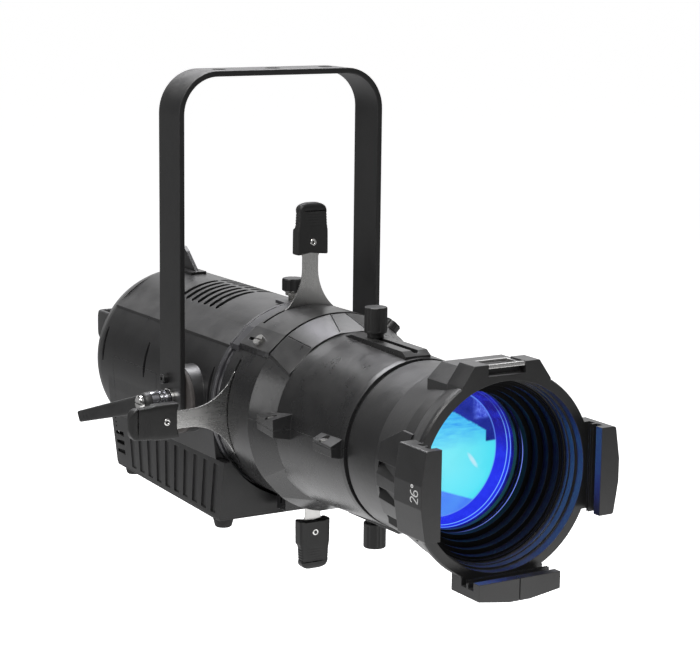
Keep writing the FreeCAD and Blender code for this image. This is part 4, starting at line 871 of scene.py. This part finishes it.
# ------------------------------------------------------------------ light seen in the lens
def glow_core(name):
    """The shaped beam: pale cyan, cut by straight shutter edges, blue outside them."""
    mat = Tree(name)
    x, _, z = mat.axis_place()
    # from here x, z and radius are in millimetres
    x, z = mat.mul(x, 1000.0), mat.mul(z, 1000.0)
    radius = mat.hypot(x, z)
    fine = mat.noise(420.0, detail=3, rough=0.7)
    # shutter edges: lines through (11.1, 31.8) and (2.1, -31.2), falling towards +X
    over_top = mat.add(mat.sub(z, 31.8), mat.mul(mat.sub(x, 11.1), 0.577))
    over_step = mat.sub(z, 5.2)
    over_low = mat.add(mat.add(z, 31.2), mat.mul(mat.sub(x, 2.1), 0.357))
    ragged = mat.mul(mat.sub(fine, 0.5), 3.0)
    cut_top = mat.span(mat.add(over_top, ragged), -0.7, 0.9)
    notch = mat.mul(mat.span(x, 40.4, 41.6), mat.span(over_step, -0.4, 1.0))
    cut_top = mat.math("MAXIMUM", cut_top, notch)
    cut_low = mat.span(over_low, 0.5, -1.0)
    # inside the edges: cyan, with blue streaks and specks towards the top
    streaks = mat.noise(1.0, detail=3, rough=0.7,
                        vector=mat.stretch((75, 40, 520), turn=(0, 0.42, 0)))
    upper = mat.span(z, 2.0, 26.0)
    cyan = mat.mix(mat.span(radius, 8.0, 50.0), (0.26, 1.0, 0.98), (0.115, 0.93, 0.98))
    cyan = mat.mix(mat.mul(upper, mat.span(streaks, 0.35, 0.72)), cyan, (0.045, 0.34, 0.92))
    cyan = mat.mix(mat.mul(upper, 0.55), cyan, (0.06, 0.50, 0.97))
    dots = mat.span(mat.cells(780.0), 0.16, 0.05)
    cyan = mat.mix(mat.mul(dots, mat.span(z, -2.0, 20.0, to=(0.05, 0.5))), cyan,
                   (0.03, 0.22, 0.75))
    # slanted hot spot about (28, -8.5)
    slant = mat.mul(mat.sub(x, 28.0), mat.sub(x, 28.0))
    rise = mat.add(mat.add(z, 8.5), mat.mul(mat.sub(x, 28.0), 1.1))
    hot = mat.add(slant, mat.mul(mat.math("POWER", rise, 2.0), 3.0))
    cyan = mat.mix(mat.span(hot, 40.0, 2.0), cyan, (0.72, 1.0, 1.0))
    # outside the edges: blue below, dark above with a crackled patch at upper +X
    low = mat.mix(mat.span(mat.noise(60.0, detail=3), 0.3, 0.7),
                  (0.085, 0.24, 0.98), (0.11, 0.36, 1.0))
    dark = mat.mix(mat.span(mat.noise(55.0, detail=4), 0.35, 0.7),
                   (0.012, 0.020, 0.22), (0.030, 0.045, 0.45))
    crackle = mat.noise(300.0, detail=6, rough=0.8)
    patch = mat.mul(mat.span(x, 27.0, 33.0),
                    mat.span(mat.sub(x, mat.mul(mat.sub(z, 26.0), -0.55)), 49.5, 47.5))
    patch = mat.mul(patch, mat.span(z, 24.0, 26.5))
    dark = mat.mix(patch, dark, mat.mix(mat.span(crackle, 0.38, 0.66),
                                        (0.035, 0.05, 0.55), (0.20, 0.28, 1.0)))
    tone = mat.mix(cut_low, cyan, low)
    tone = mat.mix(cut_top, tone, dark)
    rim = mat.span(radius, 50.6, 51.6)
    tone = mat.mix(mat.mul(rim, 0.8), tone, (0.16, 0.32, 1.0))
    return mat.emit(tone, strength=1.16)


def glow_wall(name):
    """Blue light on the tube behind the lens, with bright lines round it."""
    mat = Tree(name)
    x, y, z = mat.axis_place()
    y = mat.mul(y, 1000.0)  # now in millimetres
    angle = mat.math("ARCTAN2", z, x)
    cloud = mat.noise(70.0, detail=4, rough=0.7)
    specks = mat.noise(420.0, detail=3, rough=0.7)
    lower = mat.span(angle, 0.55, -0.35, smooth=True)
    near = mat.mix(lower, (0.018, 0.012, 0.22), (0.020, 0.030, 0.72))
    near = mat.mix(mat.span(cloud, 0.45, 0.75, to=(0, 0.6)), near, (0.035, 0.06, 0.95))
    deep = mat.mix(mat.span(cloud, 0.4, 0.75), (0.005, 0.005, 0.09), (0.016, 0.014, 0.30))
    tone = mat.mix(mat.span(y, -293.2, -294.6), near, deep)
    wobble = mat.mul(mat.sub(mat.noise(26.0), 0.5), 1.1)
    wavy_y = mat.add(y, wobble)
    # bright lines: (y, half width, strength)
    for line_y, half, strength in ((-289.9, 0.50, 0.95), (-293.0, 0.42, 0.95),
                                   (-297.5, 0.30, 0.28)):
        line = mat.span(mat.math("ABSOLUTE", mat.sub(wavy_y, line_y)), half, half * 0.35)
        line = mat.mul(line, mat.span(angle, 0.75, 0.1, to=(0.12, 1.0)))
        tone = mat.mix(mat.mul(line, strength), tone, (0.24, 0.50, 1.0))
    spark = mat.mul(mat.span(specks, 0.72, 0.80), mat.span(y, -294.5, -291.0))
    tone = mat.mix(spark, tone, (0.45, 0.80, 1.0))
    return mat.emit(tone, strength=1.4)


def glow_lip(name):
    """Thin ring at the lens rim, lit blue on its lower +X side."""
    mat = Tree(name)
    x, _, z = mat.axis_place()
    angle = mat.math("ARCTAN2", z, x)
    lit = mat.mul(mat.span(angle, 0.42, 0.0, smooth=True),
                  mat.span(angle, -1.9, -1.0, smooth=True))
    cloud = mat.noise(60.0, detail=3)
    tone = mat.mix(mat.mul(lit, mat.span(cloud, 0.2, 0.7, to=(0.5, 1.0))),
                   (0.006, 0.006, 0.02), (0.20, 0.28, 1.0))
    return mat.emit(tone, strength=1.0)


# (radius, y)
CORE = [(0.02, -283.0), (12, -282.8), (25, -282.2), (38, -281.2), (47, -280.5), (52.0, -280.0),
        (52.4, -279.6), (52.0, -279.2), (25, -281.0), (0.02, -282.0)]
WALL = [(52.2, -279.6), (52.6, -280.4), (55.6, -289.0), (56.0, -289.9), (56.7, -291.4),
        (57.2, -293.0), (58.0, -295.0), (59.2, -300.5), (59.6, -302.0), (60.4, -302.0),
        (60.4, -300.5), (58.6, -293.0), (56.4, -286.0), (53.2, -279.4)]
LIP_R, LIP_Y, LIP_THICK = 57.45, -309.4, 0.34
LIP = [(LIP_R + LIP_THICK * math.cos(i * math.pi / 4), LIP_Y + LIP_THICK * math.sin(i * math.pi / 4))
       for i in range(8)]
GLOW_SEGMENTS = 128

for glow_name, glow_shell, glow_material in (
        ("beam_core", Shell().lathe(CORE, along_y, GLOW_SEGMENTS), glow_core),
        ("beam_wall", Shell().torus(WALL, along_y, GLOW_SEGMENTS), glow_wall),
        ("beam_lip", Shell().torus(LIP, along_y, GLOW_SEGMENTS), glow_lip)):
    add_piece(glow_name, glow_shell, glow_material(glow_name), "lens_tube", sharp=60)

# ------------------------------------------------------------------ stage, light and camera
# Sizes from here on are in metres.
scene = bpy.context.scene
scene.view_settings.view_transform = "Standard"
scene.view_settings.look = "None"
scene.view_settings.exposure = 0.0
scene.view_settings.gamma = 1.0

FLOOR_Z = -0.78


def floor_material(name):
    """Near white to the camera, a soft pool of light to other rays, clear from below."""
    mat = Tree(name)
    seen = mat.node("LightPath").outputs["Is Camera Ray"]
    below = mat.node("NewGeometry").outputs["Backfacing"]
    matt = mat.node("BsdfDiffuse", {"Color": mat.mix(seen, 0.30, 0.9)})
    glow = mat.node("Emission", {"Color": WHITE})
    x, y, _ = mat.place()
    distance = mat.hypot(mat.add(x, 0.25), mat.add(y, 0.15))
    pool = mat.span(distance, 0.35, 1.5, to=(0.85, 0.14), smooth=True)
    mat.put(glow.inputs["Strength"],
            mat.add(mat.mul(seen, 0.70), mat.mul(mat.sub(1.0, seen), pool)))
    lit = mat.node("AddShader", {0: matt, 1: glow})
    return mat.blend(below, lit, mat.node("BsdfTransparent"))


def make_floor():
    bm = bmesh.new()
    bmesh.ops.create_grid(bm, x_segments=8, y_segments=8, size=45.0)
    mesh = bpy.data.meshes.new("studio_floor")
    bm.to_mesh(mesh)
    bm.free()
    floor = bpy.data.objects.new("studio_floor", mesh)
    floor.location = (0, 0, FLOOR_Z)
    scene.collection.objects.link(floor)
    mesh.materials.append(floor_material("studio_floor"))


def make_world():
    """White to the camera; to other rays dim, brighter overhead and in a lobe towards +Y."""
    world = bpy.data.worlds.new("studio")
    scene.world = world
    sky = Nodes(world, "OutputWorld")
    around = sky.node("Background", {0: WHITE})
    backdrop = sky.node("Background", {0: WHITE, 1: 1.0})
    either = sky.node("MixShader")
    seen = sky.node("LightPath").outputs["Is Camera Ray"]
    x, y, z = sky.xyz(sky.node("TexCoord").outputs["Generated"])
    toward_back = sky.add(sky.mul(x, 0.50), sky.mul(y, 0.86))
    lobe = sky.mul(sky.span(toward_back, 0.55, 0.93, smooth=True),
                   sky.span(z, 0.75, 0.35, smooth=True))
    zenith = sky.span(z, 0.35, 0.9, to=(0.0, 0.35), smooth=True)
    sky.put(around.inputs[1], sky.add(sky.add(0.075, zenith), sky.mul(lobe, 0.85)))
    for i, source in enumerate((seen, around, backdrop)):
        sky.put(either.inputs[i], source)
    sky.put(sky.out.inputs[0], either)


def soft_light(name, location, target, size, power, colour=(1, 1, 1), size_y=None):
    """Area light hidden from the camera: a rectangle, or a disk where size_y is left out."""
    light = bpy.data.lights.new(name, "AREA")
    light.shape = "RECTANGLE" if size_y else "DISK"
    light.size = size
    if size_y:
        light.size_y = size_y
    light.energy = power
    light.color = colour
    lamp = bpy.data.objects.new(name, light)
    scene.collection.objects.link(lamp)
    lamp.location = location
    lamp.rotation_mode = "QUATERNION"
    aim = Vector(target) - Vector(location)
    lamp.rotation_quaternion = aim.to_track_quat("-Z", "Y")
    lamp.visible_camera = False
    return lamp


def make_lights():
    centre = (0, -0.08, -0.26)
    soft_light("key_softbox", (-0.9, -0.9, 1.35), centre, size=1.1, size_y=0.7, power=30.0,
               colour=(1.0, 0.99, 0.975))
    soft_light("top_softbox", (0.3, 0.9, 1.5), centre, size=1.6, size_y=0.9, power=52.0,
               colour=(0.98, 0.98, 1.0))
    # low card for the polished shutter blades
    soft_light("blade_card", world_point(262, -830, -285), world_point(-90, -72, -60),
               size=0.56, size_y=0.28, power=0.62, colour=(1.0, 0.995, 0.985))
    soft_light("facet_card", world_point(170, 480, 1210), world_point(-30, -130, 80),
               size=0.42, size_y=0.42, power=1.5, colour=(0.76, 0.70, 1.0))
    soft_light("side_strip", (-1.9, 0.5, 0.3), centre, size=0.25, size_y=1.2, power=5.5)
    soft_light("front_fill", (-0.6, -2.2, 0.5), centre, size=0.7, size_y=0.7, power=2.2)
    # blue light from the lens onto the front of the tube
    spill = soft_light("beam_spill", world_point(0, -311.0, 0), world_point(0, -500.0, 0),
                       size=0.10, power=0.045, colour=(0.04, 0.05, 1.0))
    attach(spill, "lens_tube")


def make_camera():
    """Looks from the front left and a little above."""
    yaw, pitch, roll = 0.548, 0.186, 0.012
    lens = bpy.data.cameras.new("camera")
    camera = bpy.data.objects.new("camera", lens)
    scene.collection.objects.link(camera)
    back = Vector((-math.sin(yaw) * math.cos(pitch), -math.cos(yaw) * math.cos(pitch),
                   math.sin(pitch)))
    right = Vector((math.cos(yaw), -math.sin(yaw), 0.0))
    up = back.cross(right)
    cos, sin = math.cos(roll), math.sin(roll)
    axes = (cos * right + sin * up, -sin * right + cos * up, back)
    pose = Matrix(axes).transposed().to_4x4()
    pose.translation = Vector((-0.9187, -1.6413, 0.4043 + AXIS_Z * MM))
    camera.matrix_world = pose
    lens.sensor_width = 36.0
    lens.sensor_fit = "HORIZONTAL"
    lens.lens = 108.81
    lens.clip_start, lens.clip_end = 0.05, 200.0
    scene.camera = camera


make_floor()
make_world()
make_lights()
make_camera()
